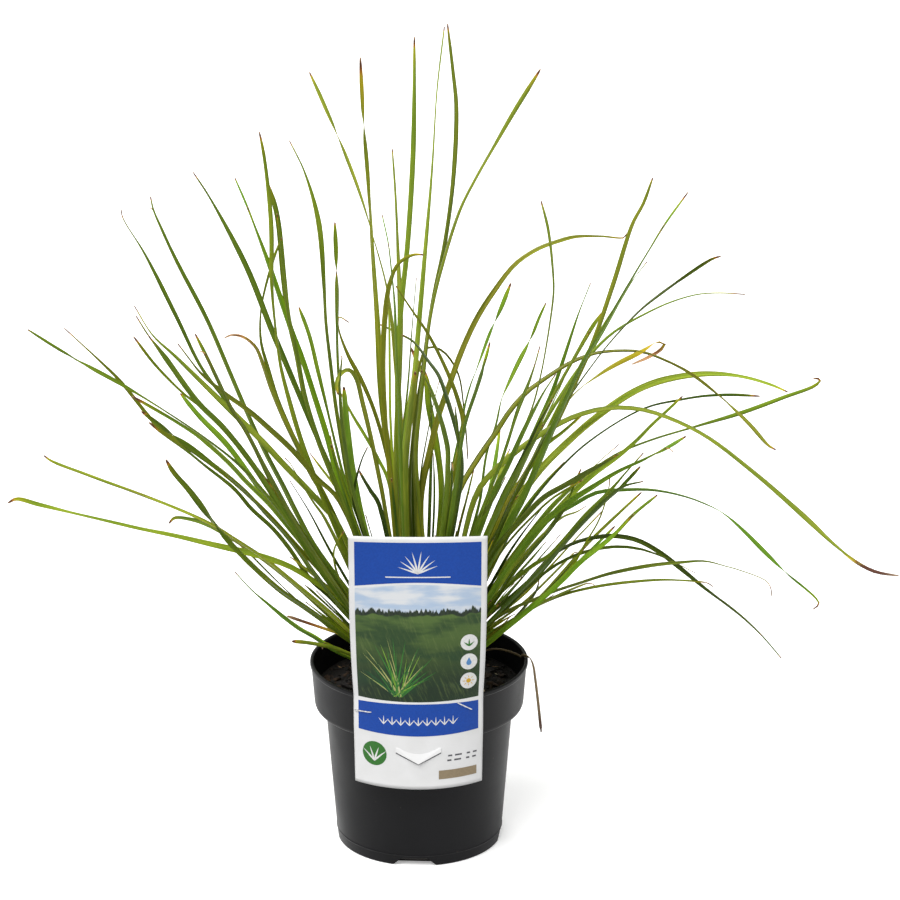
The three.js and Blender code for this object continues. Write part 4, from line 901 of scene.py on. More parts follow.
def addSheaths(bm, sector, draw):
    for i in range(sheath["count"]):
        turn = 2 * math.pi * i / sheath["count"] + draw.uniform(-sheath["scatter"], sheath["scatter"])
        addSheath(bm, sector, turn, draw)


heart = {"low": 100, "top": 127, "narrowing": 0.55, "clear": 1.4, "sides": 20, "tint": (0.34, 0.30, 0.13)}


def addHeart(bm, sector):
    layers = bm.verts.layers.float_color
    outward, crosswise = sectorWays(sector)
    made = bmesh.ops.create_cone(bm, cap_ends=True, segments=heart["sides"], radius1=1,
                                 radius2=heart["narrowing"], depth=heart["top"] - heart["low"])["verts"]
    for vert in made:
        x, y, z = vert.co
        r = mix(clump["inner"], clump["outer"], (1 + x) / 2)
        side = y * halfSector(r, heart["clear"])
        vert.co = (outward * r + crosswise * side + up * (z + (heart["low"] + heart["top"]) / 2)) * mm
        vert[layers["tint"]] = (*heart["tint"], 1)
        vert[layers["traits"]] = (0.5, 0.001, 0.5, 0)


def makeHearts(material):
    bm = strapMesh()
    for sector in range(clump["shoots"]):
        addHeart(bm, sector)
    finishPiece(bm, "shootHearts", [material], sharp=40)


# The leaf's look: scales are how close a pattern lies across and along, and the tints multiply the green.
leafLook = {
    "patchScales": (1.4, 11), "cool": (0.74, 0.80, 0.62), "warm": (1.22, 1.14, 1.05),
    "veinScales": (13, 5), "veinTint": (0.62, 0.67, 0.55),
    "fineScales": (42, 7), "fineTint": (1.38, 1.32, 1.5),
    "ribTint": (1.35, 1.3, 1.6), "edgeTint": (1.5, 1.15, 0.9), "yellowing": (1.8, 1.25, 0.7),
    "speckScales": (4, 85), "specks": (0.16, 0.06, 0.015), "foot": (0.42, 0.42, 0.20),
}
deadRamps = {
    "banded": [(0.0, (0.50, 0.32, 0.03)), (0.25, (0.36, 0.13, 0.02)), (0.5, (0.085, 0.030, 0.014)),
               (0.75, (0.12, 0.055, 0.028)), (1.0, (0.42, 0.26, 0.13))],
    "brown": [(0.0, (0.30, 0.12, 0.02)), (0.08, (0.080, 0.030, 0.018)), (0.4, (0.13, 0.055, 0.035)),
              (0.75, (0.085, 0.036, 0.024)), (1.0, (0.45, 0.32, 0.20))],
    "tan": [(0.0, (0.50, 0.26, 0.02)), (0.06, (0.075, 0.030, 0.022)), (0.22, (0.075, 0.030, 0.022)),
            (0.34, (0.56, 0.27, 0.10)), (0.6, (0.64, 0.36, 0.16)), (1.0, (0.60, 0.40, 0.25))],
}


def leafMaterial():
    m = Nodes("lomandraLeaf")
    u, v = m.uv()
    tint, traits = m.attribute("tint")["Color"], m.attribute("traits")
    seed, deadShare, age = m.add("SeparateColor", {0: traits["Color"]}).outputs
    shift = m.math("MULTIPLY", seed, 60)
    veins = m.grain(u, v, leafLook["veinScales"], shift, 3)
    fineVeins = m.grain(u, v, leafLook["fineScales"], shift, 2)
    patches = m.grain(u, v, leafLook["patchScales"], shift, 3)
    cool, warm = m.times(tint, leafLook["cool"]), m.times(tint, leafLook["warm"])
    green = m.blend(m.remap(patches, 0.3, 0.7), cool, warm)
    green = m.timesWhere(m.remap(veins, 0.35, 0.68, 0, 0.45), green, leafLook["veinTint"])
    green = m.timesWhere(m.remap(fineVeins, 0.5, 0.75, 0, 0.30), green, leafLook["fineTint"])
    fromMiddle = m.math("ABSOLUTE", m.math("SUBTRACT", u, 0.5))
    green = m.timesWhere(m.remap(fromMiddle, 0.0, 0.09, 0.40, 0), green, leafLook["ribTint"])
    green = m.timesWhere(m.remap(fromMiddle, 0.42, 0.5, 0, 0.45), green, leafLook["edgeTint"])
    specks = m.remap(m.grain(u, v, leafLook["speckScales"], shift, 2), 0.73, 0.78, 0, 0.8)
    green = m.blend(m.math("MULTIPLY", specks, age), green, leafLook["specks"])
    green = m.blend(m.remap(v, 0.0, 0.13, 0.85, 0), green, leafLook["foot"])
    # how far into the dead tip a place is: 0 where it starts, 1 at the point
    end = m.math("SUBTRACT", v, m.math("SUBTRACT", 1.0, deadShare))
    end = m.math("DIVIDE", end, deadShare)
    end = m.math("ADD", end, m.remap(veins, 0.2, 0.8, -0.3, 0.3))
    green = m.timesWhere(m.remap(end, -2.6, -0.2, 0, 0.75), green, leafLook["yellowing"])
    dead = m.ramp(end, deadRamps["banded"])
    for kind in ("brown", "tan"):
        chosen = m.math("GREATER_THAN", traits["Alpha"], deadMarks[kind] - 0.25)
        dead = m.blend(chosen, dead, m.ramp(end, deadRamps[kind]))
    colour = m.blend(m.remap(end, -0.12, 0.08), green, dead)
    roughness = m.remap(veins, 0.3, 0.7, 0.38, 0.54)
    normal = m.bump(fineVeins, 0.00012, 0.5, m.bump(veins, 0.00035, 0.55))
    return m.finish(colour=colour, roughness=roughness, normal=normal, specular=0.1)


def makeShoots():
    material = leafMaterial()
    for sector in range(clump["shoots"]):
        draw = random.Random(40 + sector)
        bm = strapMesh()
        for leaf in leaves:
            if leaf["sector"] == sector:
                addLeafBlade(bm, leaf, draw)
        addSheaths(bm, sector, draw)
        number = f"{sector + 1:02d}"
        shoot = finishPiece(bm, "leafShoot" + number, [material], ["shoot_" + number])
        thicken(shoot, blade["thickness"], 0)
    makeHearts(material)


makeShoots()
print("shoots done")

# Pot

pot = {
    "profile": [(0, 0), (57.2, 0), (58, 0.8), (58.4, 7.6), (59, 8.2), (58.6, 9), (65.8, 99.2), (66.4, 100),
                (71.8, 100), (72.8, 100.8), (73.4, 102.6), (75.5, 129.6), (76.4, 130.4), (76.4, 132.6),
                (76, 133), (74.5, 133), (73.8, 132.4), (71.4, 103.6), (70.6, 102.2), (64.6, 102.2),
                (63.6, 101.2), (55.8, 5), (53.8, 2.4), (0, 2.4)],
    "round": 0.6, "steps": 192, "sharp": 40,
    "notches": 4, "notchTurn": -3, "notchWide": 33, "notchNarrow": 17, "notchTop": 6.5, "notchFrom": 49,
    "notchDepth": 12, "drains": 8, "drainRing": 36, "drainRadius": 6, "drainSides": 32, "drainDepth": 10,
    "colour": (0.0047, 0.0047, 0.0053), "worn": (0.008, 0.008, 0.009), "dust": (0.09, 0.075, 0.055),
}


def roundedLine(points, reach, steps=3):  # the corners of a line rounded by short arcs
    made = [Vector(points[0])]
    for a, b, c in zip(points, points[1:], points[2:]):
        a, b, c = Vector(a), Vector(b), Vector(c)
        start = b + (a - b).normalized() * min(reach, 0.45 * (a - b).length)
        end = b + (c - b).normalized() * min(reach, 0.45 * (c - b).length)
        for k in range(steps + 1):
            t = k / steps
            made.append(start.lerp(b, t).lerp(b.lerp(end, t), t))
    return [*made, Vector(points[-1])]


def spinLine(bm, line, steps):
    verts = [bm.verts.new((x * mm, 0, z * mm)) for x, z in line]
    edges = [bm.edges.new(pair) for pair in zip(verts, verts[1:])]
    bmesh.ops.spin(bm, geom=verts + edges, cent=(0, 0, 0), axis=(0, 0, 1), angle=2 * math.pi, steps=steps,
                   use_merge=True)
    bmesh.ops.remove_doubles(bm, verts=bm.verts, dist=0.00001)
    bmesh.ops.recalc_face_normals(bm, faces=bm.faces)


def cutAway(piece, cutters):
    mesh = bpy.data.meshes.new("cutter")
    cutters.to_mesh(mesh)
    cutters.free()
    cutter = bpy.data.objects.new("cutter", mesh)
    bpy.context.scene.collection.objects.link(cutter)
    cut = piece.modifiers.new("cut", "BOOLEAN")
    cut.object = cutter
    cut.operation = "DIFFERENCE"
    cut.solver = "EXACT"
    done = bpy.data.meshes.new_from_object(piece.evaluated_get(bpy.context.evaluated_depsgraph_get()))
    piece.modifiers.clear()
    bpy.data.objects.remove(cutter)
    piece.data = done


def potMaterial():
    m = Nodes("charcoalPlastic")
    place = m.place()
    broad = m.noise(place, 22, 3)
    fine = m.noise(place, 900, 2)
    dust = m.noise(place, 320, 4, 0.7)
    colour = m.blend(m.remap(broad, 0.3, 0.7), pot["colour"], pot["worn"])
    colour = m.blend(m.remap(dust, 0.69, 0.75, 0, 0.3), colour, pot["dust"])
    roughness = m.remap(broad, 0.25, 0.75, 0.36, 0.5)
    normal = m.bump(fine, 0.00006, 0.5)
    return m.finish(colour=colour, roughness=roughness, normal=normal, specular=0.11)


def addNotch(cutters, turn):
    wide, narrow, top = pot["notchWide"] / 2, pot["notchNarrow"] / 2, pot["notchTop"]
    corners = [(-wide, -1), (wide, -1), (narrow, top), (-narrow, top)]
    verts = [cutters.verts.new(Vector((x, -pot["notchFrom"], z)) * mm) for x, z in corners]
    grown = bmesh.ops.extrude_face_region(cutters, geom=[cutters.faces.new(verts)])["geom"]
    far = onlyOf(grown, bmesh.types.BMVert)
    bmesh.ops.translate(cutters, vec=(0, -pot["notchDepth"] * mm, 0), verts=far)
    bmesh.ops.rotate(cutters, cent=(0, 0, 0), matrix=Matrix.Rotation(turn, 3, "Z"), verts=verts + far)


def addDrain(cutters, angle):
    middle = Vector((math.cos(angle), math.sin(angle), 0)) * pot["drainRing"] * mm
    radius, sides = pot["drainRadius"] * mm, pot["drainSides"]
    halfStep = Matrix.Rotation(math.pi / sides, 4, "Z")  # no corner on a spoke of the floor
    bmesh.ops.create_cone(cutters, cap_ends=True, segments=sides, radius1=radius, radius2=radius,
                          depth=pot["drainDepth"] * mm, matrix=Matrix.Translation(middle) @ halfStep)


def makePot():
    bm = bmesh.new()
    spinLine(bm, roundedLine(pot["profile"], pot["round"]), pot["steps"])
    piece = finishPiece(bm, "nurseryPot", [potMaterial()], ["pot"])
    cutters = bmesh.new()
    for i in range(pot["notches"]):
        addNotch(cutters, i * 2 * math.pi / pot["notches"] + pot["notchTurn"] * degree)
    for i in range(pot["drains"]):
        addDrain(cutters, (i + 0.5) * 2 * math.pi / pot["drains"])
    bmesh.ops.recalc_face_normals(cutters, faces=cutters.faces)
    cutAway(piece, cutters)
    piece.data.set_sharp_from_angle(angle=pot["sharp"] * degree)


makePot()
print("pot done")

# Soil

soil = {
    "profile": [(0, 2.7), (52.9, 2.7), (55.3, 5.4), (63.1, 100.6), (63.9, 102.6), (70, 102.8),
                (70.5, 104.2), (71.7, 112.6), (66, 113.1), (62, 113.6), (57, 114.1), (52, 114.6),
                (47, 114.3), (42, 114), (38, 114.4), (34, 114.8), (28, 114.8), (22, 114.9), (16, 114.9),
                (10, 115), (5, 115), (0, 115)],
    "steps": 160, "topFrom": 110, "edge": 71, "lumps": 1.3, "lumpScales": (160, 420), "settled": 0.4,
    "reach": 69, "chips": 620, "chipLong": (1.8, 7), "barkLong": (5, 11), "chipShare": 0.6,
    "chipWide": (0.35, 0.8), "chipTall": (0.8, 2.2), "chipLift": (-0.6, 0.9), "bits": 40,
    "bitLong": (2, 6), "bitWide": (0.5, 1.2),
    "prills": 14, "prillRing": (32, 66), "prillSize": (2.2, 3.4),
}
soilTints = [(0.0065, 0.0050, 0.0042), (0.012, 0.0085, 0.0065), (0.020, 0.013, 0.009),
             (0.005, 0.0045, 0.004), (0.036, 0.022, 0.013)]
bitTints = [(0.36, 0.27, 0.16), (0.24, 0.16, 0.09), (0.45, 0.40, 0.30)]
prillTints = [(0.50, 0.40, 0.24), (0.42, 0.33, 0.20), (0.58, 0.50, 0.34)]


def soilHeightAt(r):
    top = sorted((x, z) for x, z in soil["profile"] if z > soil["topFrom"])
    return float(np.interp(r, [x for x, _ in top], [z for _, z in top]))


def onSoil(r, angle, above):
    return Vector((r * math.cos(angle), r * math.sin(angle), soilHeightAt(r) + above))


def anywhereOnSoil(draw):
    return soil["reach"] * math.sqrt(draw.random()), draw.uniform(0, 2 * math.pi)


def soilMaterial():
    m = Nodes("barkMix")
    place = m.place()
    grain = m.noise(place, 420, 4, 0.65)
    shading = m.blend(m.remap(grain, 0.3, 0.7), (0.55, 0.55, 0.55), (1.6, 1.5, 1.4))
    colour = m.times(m.attribute("tint")["Color"], shading)
    normal = m.bump(grain, 0.0006, 0.8)
    return m.finish(colour=colour, roughness=0.85, normal=normal, specular=0.3)


def addChip(bm, place, size, tint, draw, detail=1):
    tints = bm.verts.layers.float_color["tint"]
    made = bmesh.ops.create_icosphere(bm, subdivisions=detail, radius=0.5)["verts"]
    turn = Matrix.Rotation(draw.uniform(0, 6.3), 3, "Z") @ Matrix.Rotation(draw.gauss(0, 0.5), 3, "X")
    for vert in made:
        shaped = Vector([vert.co[k] * size[k] * draw.uniform(0.75, 1.2) for k in range(3)])
        vert.co = (place + turn @ shaped) * mm
        vert[tints] = (*tint, 1)


def addLumps(bm):
    near, fine = soil["lumpScales"]
    for vert in bm.verts:
        r = math.hypot(vert.co.x, vert.co.y) / mm
        if vert.co.z > soil["topFrom"] * mm and r < soil["edge"]:
            lump = noise.noise(vert.co * near) + 0.6 * noise.noise(vert.co * fine)
            vert.co.z += (lump * soil["lumps"] * clamp((soil["edge"] - r) / 5) - soil["settled"]) * mm


def makeSoil():
    draw = random.Random(7)
    bm = bmesh.new()
    tints = bm.verts.layers.float_color.new("tint")
    spinLine(bm, soil["profile"], soil["steps"])
    for vert in bm.verts:
        vert[tints] = (*soilTints[0], 1)
    addLumps(bm)
    for _ in range(soil["chips"]):
        r, angle = anywhereOnSoil(draw)
        place = onSoil(r, angle, draw.uniform(*soil["chipLift"]))
        long = draw.uniform(*soil["chipLong" if draw.random() < soil["chipShare"] else "barkLong"])
        size = (long, long * draw.uniform(*soil["chipWide"]), draw.uniform(*soil["chipTall"]))
        size = tuple(min(side, 2 * (soil["edge"] - r) + 1) for side in size)
        addChip(bm, place, size, draw.choice(soilTints), draw, 2 if long > 5 else 1)
    for _ in range(soil["bits"]):
        place = onSoil(*anywhereOnSoil(draw), 1.2)
        size = (draw.uniform(*soil["bitLong"]), draw.uniform(*soil["bitWide"]), 0.5)
        addChip(bm, place, size, draw.choice(bitTints), draw)
    material = soilMaterial()
    finishPiece(bm, "pottingMix", [material], ["soil"], sharp=50)
    bm = bmesh.new()
    tints = bm.verts.layers.float_color.new("tint")
    for _ in range(soil["prills"]):
        r, angle = draw.uniform(*soil["prillRing"]), draw.uniform(0, 2 * math.pi)
        across = draw.uniform(*soil["prillSize"])
        place = onSoil(r, angle, across * 0.3 + 0.6)
        tint = draw.choice(prillTints)
        made = bmesh.ops.create_icosphere(bm, subdivisions=3, radius=across / 2 * mm,
                                          matrix=Matrix.Translation(place * mm))["verts"]
        for vert in made:
            vert[tints] = (*tint, 1)
    finishPiece(bm, "fertiliserPrills", [material])


makeSoil()
print("soil done")

# Label: a bent card with a folded tab, its print, and two staples

label = {"width": 94, "foot": 67.5, "top": 253, "back": 77, "thickness": 0.5,
         "bends": [(67.5, 69.5), (88, 72.5), (110, 77.4), (133, 77.4), (160, 110), (195, 200), (253, 460)],
         "tabHalf": 15.5, "tabTop": 98, "tabSide": 95, "tabPoint": 87, "tabThickness": 0.4}
lines = {"columns": 47, "rows": 70}  # where the card bends, and where its print is cut


def onLabel(across, height, out):
    heights = [h for h, _ in label["bends"]]
    r = 1 / float(np.interp(height, heights, [1 / bend for _, bend in label["bends"]]))
    turn = across / r
    return Vector(((r + out) * math.sin(turn), r - label["back"] - (r + out) * math.cos(turn), height)) * mm


def cardMaterial():
    m = Nodes("whiteCard")
    place = m.place()
    cloud = m.noise(place, 60, 3)
    colour = m.blend(m.remap(cloud, 0.3, 0.7), (0.72, 0.72, 0.715), (0.77, 0.77, 0.77))
    normal = m.bump(m.noise(place, 1500, 2), 0.00003, 0.3)
    return m.finish(colour=colour, roughness=0.4, normal=normal, specular=0.4)


def printMaterial():
    m = Nodes("printInk")
    grain = m.noise(m.place(), 700, 2)
    shading = m.blend(m.remap(grain, 0.3, 0.7), (0.93, 0.93, 0.93), (1.05, 1.05, 1.05))
    colour = m.times(m.attribute("ink")["Color"], shading)
    return m.finish(colour=colour, roughness=0.34, normal=m.bump(grain, 0.00002, 0.3), specular=0.2)


# The printed design: a blue head, a meadow with three marks, a band, and a badge and a tan bar at the foot.
inks = {"royal": (0.006, 0.056, 0.330), "sky": (0.10, 0.25, 0.52), "forest": (0.010, 0.062, 0.018),
        "leaf": (0.030, 0.150, 0.022), "lime": (0.17, 0.32, 0.035), "straw": (0.36, 0.38, 0.13),
        "white": (0.74, 0.74, 0.73), "grey": (0.10, 0.10, 0.11), "tan": (0.27, 0.21, 0.13),
        "sun": (0.62, 0.36, 0.03)}
head = {"low": 216.5, "top": 249, "arch": 3.6, "tuft": 226.5, "length": 17,
        "fan": (-1.15, -0.82, -0.5, -0.2, 0.12, 0.44, 0.76, 1.08)}
picture = {"foot": 132.5, "horizon": 196, "blades": 34, "fan": 1.2, "length": (30, 52), "width": (0.8, 1.6),
           "inks": ("leaf", "lime", "leaf", "straw", "forest")}
marks = {"across": 35, "low": 146, "step": 14.5, "radius": 6.0}
band = {"low": 108.5, "top": 129.5, "sag": 1.4, "tuft": 115}
badge = {"across": -31, "height": 92, "radius": 9}
bulge = 28  # how gently the edges of the head and the band curve
printing = {"lift": 0.04, "thickness": 0.03, "step": 0.0003}  # each shape lies a hair above the one before
inkOrder = itertools.count()


def meadowMaterial():  # pale sky, a line of trees, and grass that darkens towards the front
    m = Nodes("printedMeadow")
    x, _, z = m.add("SeparateXYZ", {0: m.place()}).outputs
    far = m.noise(m.vector(m.math("MULTIPLY", x, 60), 0.0, 3.0), 1, 2)
    trees = m.noise(m.vector(m.math("MULTIPLY", x, 330), 0.0, 8.0), 1, 4, 0.7)
    waver = m.math("MULTIPLY", m.math("SUBTRACT", far, 0.5), 0.012)
    horizon = m.math("ADD", picture["horizon"] * mm, waver)
    above = m.math("SUBTRACT", z, horizon)
    treeTop = m.math("MULTIPLY", m.math("SUBTRACT", trees, 0.30), 0.018)
    cloud = m.grain(x, z, (40, 150), 0.0, 4)
    sky = m.blend(m.remap(cloud, 0.35, 0.65), (0.42, 0.53, 0.68), (0.70, 0.72, 0.74))
    low = m.remap(z, (picture["foot"] + 8) * mm, picture["horizon"] * mm)
    lean = m.math("ADD", m.math("MULTIPLY", x, 420), m.math("MULTIPLY", z, 160))
    streaks = m.noise(m.vector(lean, m.math("MULTIPLY", z, 60), 0.0), 1, 5, 0.7)
    drifts = m.grain(x, z, (25, 85), 5.0, 3)
    grass = m.blend(low, (0.005, 0.018, 0.005), (0.075, 0.130, 0.030))
    grass = m.blend(m.remap(drifts, 0.42, 0.62, 0, 0.8), grass, (0.008, 0.034, 0.010))
    grass = m.blend(m.remap(streaks, 0.48, 0.72, 0, 0.40), grass, (0.13, 0.18, 0.055))
    wood = m.blend(m.remap(trees, 0.4, 0.7), (0.006, 0.014, 0.008), (0.03, 0.045, 0.02))
    land = m.blend(m.remap(above, -0.0006, 0.0006), grass, wood)
    edge = m.math("SUBTRACT", above, treeTop)
    colour = m.blend(m.remap(edge, -0.0005, 0.0005), land, sky)
    return m.finish(colour=colour, roughness=0.34, specular=0.2)


def cutAlong(bm, geom, span, places, way):  # cuts a flat shape where the card bends
    for place in places:
        if min(span) < place < max(span):
            geom = bmesh.ops.bisect_plane(bm, geom=geom, dist=0.0001, plane_co=way * float(place),
                                          plane_no=way)["geom"]
    return geom


# A flat shape of one colour, cut along the card's own lines so that it bends with it.
def addInk(bm, outline, ink, layer, paint=0):
    colours = bm.verts.layers.float_color["ink"]
    across, heights = zip(*outline)
    half = label["width"] / 2
    verts = [bm.verts.new((x, 0, z)) for x, z in outline]
    face = bm.faces.new(verts)
    geom = [face, *face.edges, *verts]
    geom = cutAlong(bm, geom, across, np.linspace(-half, half, lines["columns"] + 1), Vector((1, 0, 0)))
    geom = cutAlong(bm, geom, heights, np.linspace(label["foot"], label["top"], lines["rows"] + 1), up)
    flat = onlyOf(geom, bmesh.types.BMFace)
    raised = bmesh.ops.extrude_face_region(bm, geom=flat, use_keep_orig=True)["geom"]
    raised = onlyOf(raised, bmesh.types.BMVert)
    for vert in raised:
        vert.co.y = -1
    verts = {vert for face in flat for vert in face.verts} | set(raised)
    faces = {face for vert in verts for face in vert.link_faces}
    bmesh.ops.recalc_face_normals(bm, faces=list(faces))
    for face in faces:
        face.material_index = paint
    lift = label["thickness"] + printing["lift"] * layer + printing["step"] * next(inkOrder)
    for vert in verts:
        vert.co = onLabel(vert.co.x, vert.co.z, lift - vert.co.y * printing["thickness"])
        vert[colours] = (*inks[ink], 1)


# A band between two edges, each a height or a function of the place across.
def bandOutline(low, top, left=-43, right=43, steps=24):
    across = [mix(left, right, i / steps) for i in range(steps + 1)]
    lower, upper = ([edge(x) if callable(edge) else edge for x in across] for edge in (low, top))
    return [*zip(across, lower), *zip(reversed(across), reversed(upper))]


def roundOutline(x, z, radius, steps=28):
    turns = [2 * math.pi * i / steps for i in range(steps)]
    return [(x + radius * math.cos(t), z + radius * math.sin(t)) for t in turns]


def tuftOutline(x, z, angle, length, width, steps=7):  # one pointed blade
    side = (math.cos(angle), -math.sin(angle))
    way = (math.sin(angle), math.cos(angle))
    bend = 0.25 * length * math.sin(angle)
    left, right = [], []
    for i in range(steps):
        t = i / steps
        px, pz = x + way[0] * length * t + bend * t * t, z + way[1] * length * t
        half = width / 4 * (1 - t) ** 0.7 * (0.5 + 1.5 * min(t * 3, 1))
        left.append((px - side[0] * half, pz - side[1] * half))
        right.append((px + side[0] * half, pz + side[1] * half))
    return [*right, (x + way[0] * length + bend, z + way[1] * length), *reversed(left)]


def addTuft(bm, x, z, turns, lengthAt, width, ink):
    for turn in turns:
        addInk(bm, tuftOutline(x, z, turn, lengthAt(turn), width), ink, 2)


def addSunMark(bm, x, z):
    addInk(bm, roundOutline(x, z, 1.7), "sun", 4)
    for i in range(8):
        turn = i * math.pi / 4
        ray = tuftOutline(x + 2.3 * math.sin(turn), z + 2.3 * math.cos(turn), turn, 1.7, 0.8)
        addInk(bm, ray, "sun", 4)


def addDropMark(bm, x, z):
    around = [(1.9 * math.sin(t), -1.9 * math.cos(t)) for t in np.linspace(-2.1, 2.1, 15)]
    addInk(bm, [(x + a, z - 0.8 + b) for a, b in around] + [(x, z + 3.2)], "sky", 4)


def addSproutMark(bm, x, z):
    for turn, length in ((-0.75, 4.4), (0, 5.6), (0.75, 4.4)):
        addInk(bm, tuftOutline(x, z - 2.8, turn, length, 1.7), "leaf", 4)


def headEdge(x):
    return head["low"] + head["arch"] * math.cos(x / bulge)


def sagAt(x):
    return band["sag"] * math.cos(x / bulge)


def tabShadowLine(x):  # the painted shadow under the tab: the lower edge of a thin dark grey line just below the tab
    return label["tabPoint"] - 1.2 + abs(x) * (label["tabSide"] - label["tabPoint"]) / label["tabHalf"]


def printPicture(bm, draw):
    addInk(bm, bandOutline(picture["foot"], lambda x: headEdge(x) - 1.6), "forest", 1, paint=1)
    for i in range(picture["blades"]):
        turn = picture["fan"] * (2 * i / (picture["blades"] - 1) - 1) + draw.uniform(-0.05, 0.05)
        length = draw.uniform(*picture["length"]) * (1 - 0.35 * abs(turn))
        ink = draw.choice(picture["inks"])
        x = -14 + draw.uniform(-3, 3)
        addInk(bm, tuftOutline(x, 136, turn * 0.8, length, draw.uniform(*picture["width"])), ink, 2)
    for i, addMark in enumerate((addSunMark, addDropMark, addSproutMark)):
        x, z = marks["across"], marks["low"] + marks["step"] * i
        addInk(bm, roundOutline(x, z, marks["radius"]), "white", 3)
        addMark(bm, x, z)


def printFoot(bm):
    addInk(bm, roundOutline(badge["across"], badge["height"], badge["radius"]), "leaf", 1)
    addTuft(bm, badge["across"], 86.4, (-0.7, -0.25, 0.25, 0.7), lambda turn: 11, 1.8, "white")
    half = label["tabHalf"]
    # a painted shadow: a thin dark grey line just below the tab's lower edge, standing for the shade the
    # raised tab throws on the card
    addInk(bm, bandOutline(tabShadowLine, lambda x: tabShadowLine(x) + 1, -half, half), "grey", 1)
    addInk(bm, bandOutline(74.5, 81, 14, 42), "tan", 1)
    for x, width in ((22, 3), (28, 5), (35.5, 2.5), (40.5, 3)):
        for low, shift in ((91, 0), (87.5, -0.6)):
            left, right = x - width / 2 + shift, x + width / 2 + shift
            addInk(bm, bandOutline(low, low + 1.2, left, right), "grey", 1)


def printLabel(bm):
    addInk(bm, bandOutline(headEdge, head["top"]), "royal", 1)
    addTuft(bm, 0, head["tuft"], head["fan"], lambda turn: head["length"] - 4.5 * abs(turn), 1.7, "white")
    addInk(bm, bandOutline(223.6, 224.4, -22, 22), "white", 2)
    printPicture(bm, random.Random(3))
    addInk(bm, bandOutline(lambda x: band["low"] - sagAt(x), lambda x: band["top"] + sagAt(x)), "royal", 1)
    for x in range(-24, 25, 6):
        addTuft(bm, x, band["tuft"], (-0.6, 0, 0.6), lambda turn: 6.5 - 2 * abs(turn), 1.1, "white")
    printFoot(bm)


def faceFront(bm):
    for face in bm.faces:
        face.normal_update()
        if face.normal.y > 0:
            face.normal_flip()


def makeLabel():
    material = cardMaterial()
    bm = bmesh.new()
    bmesh.ops.create_grid(bm, x_segments=lines["columns"], y_segments=lines["rows"], size=0.5)
    for vert in bm.verts:
        height = mix(label["foot"], label["top"], vert.co.y + 0.5)
        vert.co = onLabel(vert.co.x * label["width"], height, 0)
    faceFront(bm)
    card = finishPiece(bm, "labelCard", [material], ["label"])
    thicken(card, label["thickness"], 1)
    bm = bmesh.new()
    bm.verts.layers.float_color.new("ink")
    printLabel(bm)
    finishPiece(bm, "labelPrint", [printMaterial(), meadowMaterial()], sharp=35)
    bm = bmesh.new()
    half, top, side = label["tabHalf"], label["tabTop"], label["tabSide"]
    corners = [(-half, top, 0.55), (-half, side, 0.9), (0, label["tabPoint"], 2.1), (half, side, 0.9),
               (half, top, 0.55)]
    bm.faces.new([bm.verts.new(onLabel(*corner)) for corner in corners])
    bmesh.ops.triangulate(bm, faces=bm.faces)
    faceFront(bm)
    tab = finishPiece(bm, "labelTab", [material], smooth=False)
    thicken(tab, label["tabThickness"], 1)


def addTube(bm, points, radius, sides=12):
    rings = []
    for i, point in enumerate(points):
        ahead = (points[min(i + 1, len(points) - 1)] - points[max(i - 1, 0)]).normalized()
        place = Matrix.Translation(point * mm) @ ahead.to_track_quat("Z", "Y").to_matrix().to_4x4()
        capped = i in (0, len(points) - 1)
        made = bmesh.ops.create_circle(bm, cap_ends=capped, segments=sides, radius=radius * mm,
                                       matrix=place)["verts"]
        rings.append({edge for vert in made for edge in vert.link_edges})
    for a, b in zip(rings, rings[1:]):
        bmesh.ops.bridge_loops(bm, edges=[*a, *b])


staples = {
    "staple_left": {"across": -39.5, "height": 122, "length": 12.6, "tilt": 4},
    "staple_right": {"across": 32.5, "height": 127, "length": 12.2, "tilt": -32},
}
wire = {"radius": 0.45, "reach": 7.5, "stand": 1.2, "corner": 0.9}


def stapleMaterial():
    m = Nodes("galvanisedWire")
    dull = m.noise(m.place(), 500, 3)
    colour = m.blend(m.remap(dull, 0.3, 0.7), (0.42, 0.42, 0.43), (0.60, 0.60, 0.61))
    return m.finish(colour=colour, roughness=m.remap(dull, 0.3, 0.7, 0.28, 0.5), metallic=1.0)


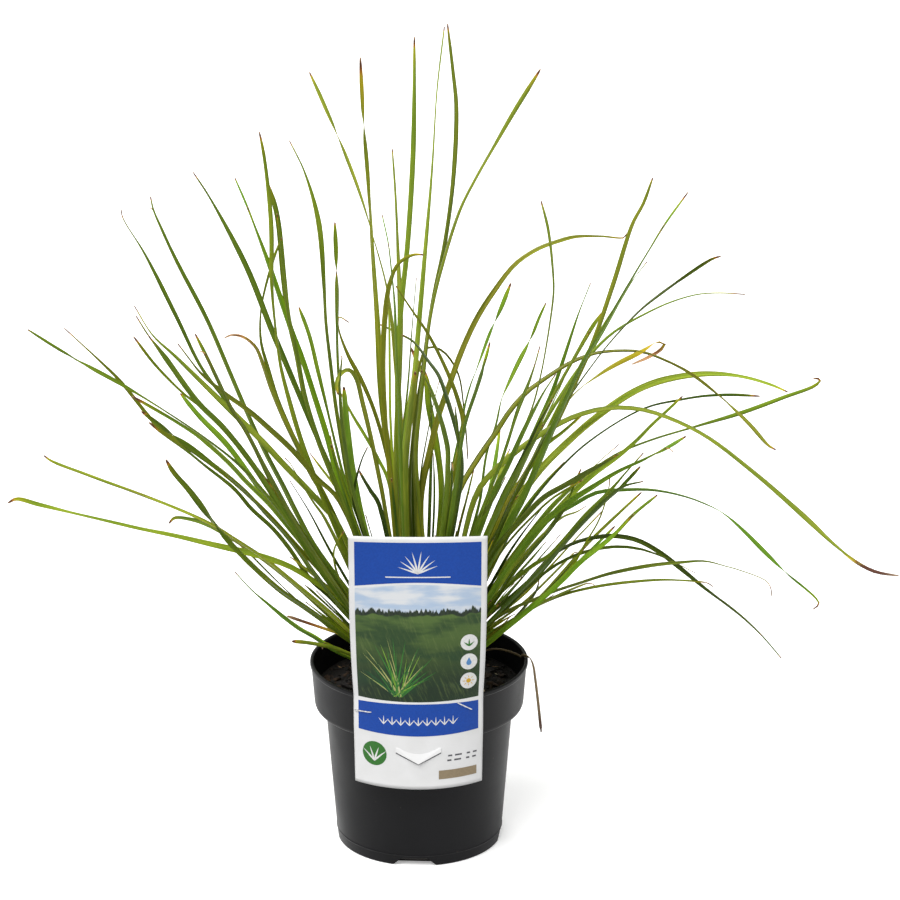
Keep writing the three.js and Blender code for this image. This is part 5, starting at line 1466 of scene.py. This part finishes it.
def makeStaples():
    material = stapleMaterial()
    for node, staple in staples.items():
        tilt = staple["tilt"] * degree
        corners = []
        behind, front = -wire["reach"], wire["stand"]
        for side, out in ((-1, behind), (-1, front), (1, front), (1, behind)):
            reach = side * staple["length"] / 2
            across = staple["across"] + reach * math.cos(tilt)
            height = staple["height"] + reach * math.sin(tilt)
            corners.append(onLabel(across, height, out) / mm)
        bm = bmesh.new()
        addTube(bm, roundedLine(corners, wire["corner"], 5), wire["radius"])
        bmesh.ops.recalc_face_normals(bm, faces=bm.faces)
        name = "".join(word.capitalize() for word in node.split("_"))
        finishPiece(bm, name[0].lower() + name[1:], [material], [node], sharp=60)


strand = {
    "route": [(38, 46, 115), (45.5, 45, 120), (54, 40, 123.8), (62, 31, 126), (67.5, 22, 127.6),
              (70.8, 14, 129.2), (71.9, 8, 131), (72.6, 4.6, 133.9), (75, 1.4, 134.4), (77.7, -0.8, 133.8),
              (79.8, -2, 129.5), (81.4, -2, 119), (83.2, -1, 104), (86, 0, 77)],
    "rows": 60, "columns": 3, "thickness": 0.5, "half": (0.55, 1.0), "fold": 0.3, "twist": (0.5, 0.68, 80),
}


def strandMaterial():
    m = Nodes("deadBlade")
    u, v = m.uv()
    veins = m.grain(u, v, (9, 6), 0.0, 3)
    colour = m.blend(m.remap(veins, 0.3, 0.7), (0.13, 0.080, 0.034), (0.30, 0.22, 0.11))
    colour = m.blend(m.remap(v, 0.82, 0.95), colour, (0.075, 0.035, 0.018))  # the darker, rolled end
    return m.finish(colour=colour, roughness=0.7, normal=m.bump(veins, 0.0002, 0.6))


def makeStrand():
    bm = strapMesh()
    path = Path(roundCurve([Vector(p) for p in strand["route"]]))

    def frameAt(share):
        along = path.along(share)
        outward = path.at(share)
        outward = Vector((outward.x, outward.y, 0.001)).normalized()
        start, end, angle = strand["twist"]  # over the rim it turns its flat side to the front
        turned = Matrix.Rotation(smoothStep((share - start) / (end - start)) * angle * degree, 3, along)
        across = turned @ along.cross(outward).normalized()
        return across, along.cross(across), strand["fold"]

    def halfAt(share):
        return mix(*strand["half"], share) * clamp((1 - share) / 0.03, 0.5)

    addStrap(bm, path, halfAt, frameAt, strand["rows"], strand["columns"])
    piece = finishPiece(bm, "deadStrand", [strandMaterial()], ["dead_strand"])
    thicken(piece, strand["thickness"], 0)


makeLabel()
makeStaples()
makeStrand()
print("label, staples and dead strand done")

bpy.context.view_layer.update()
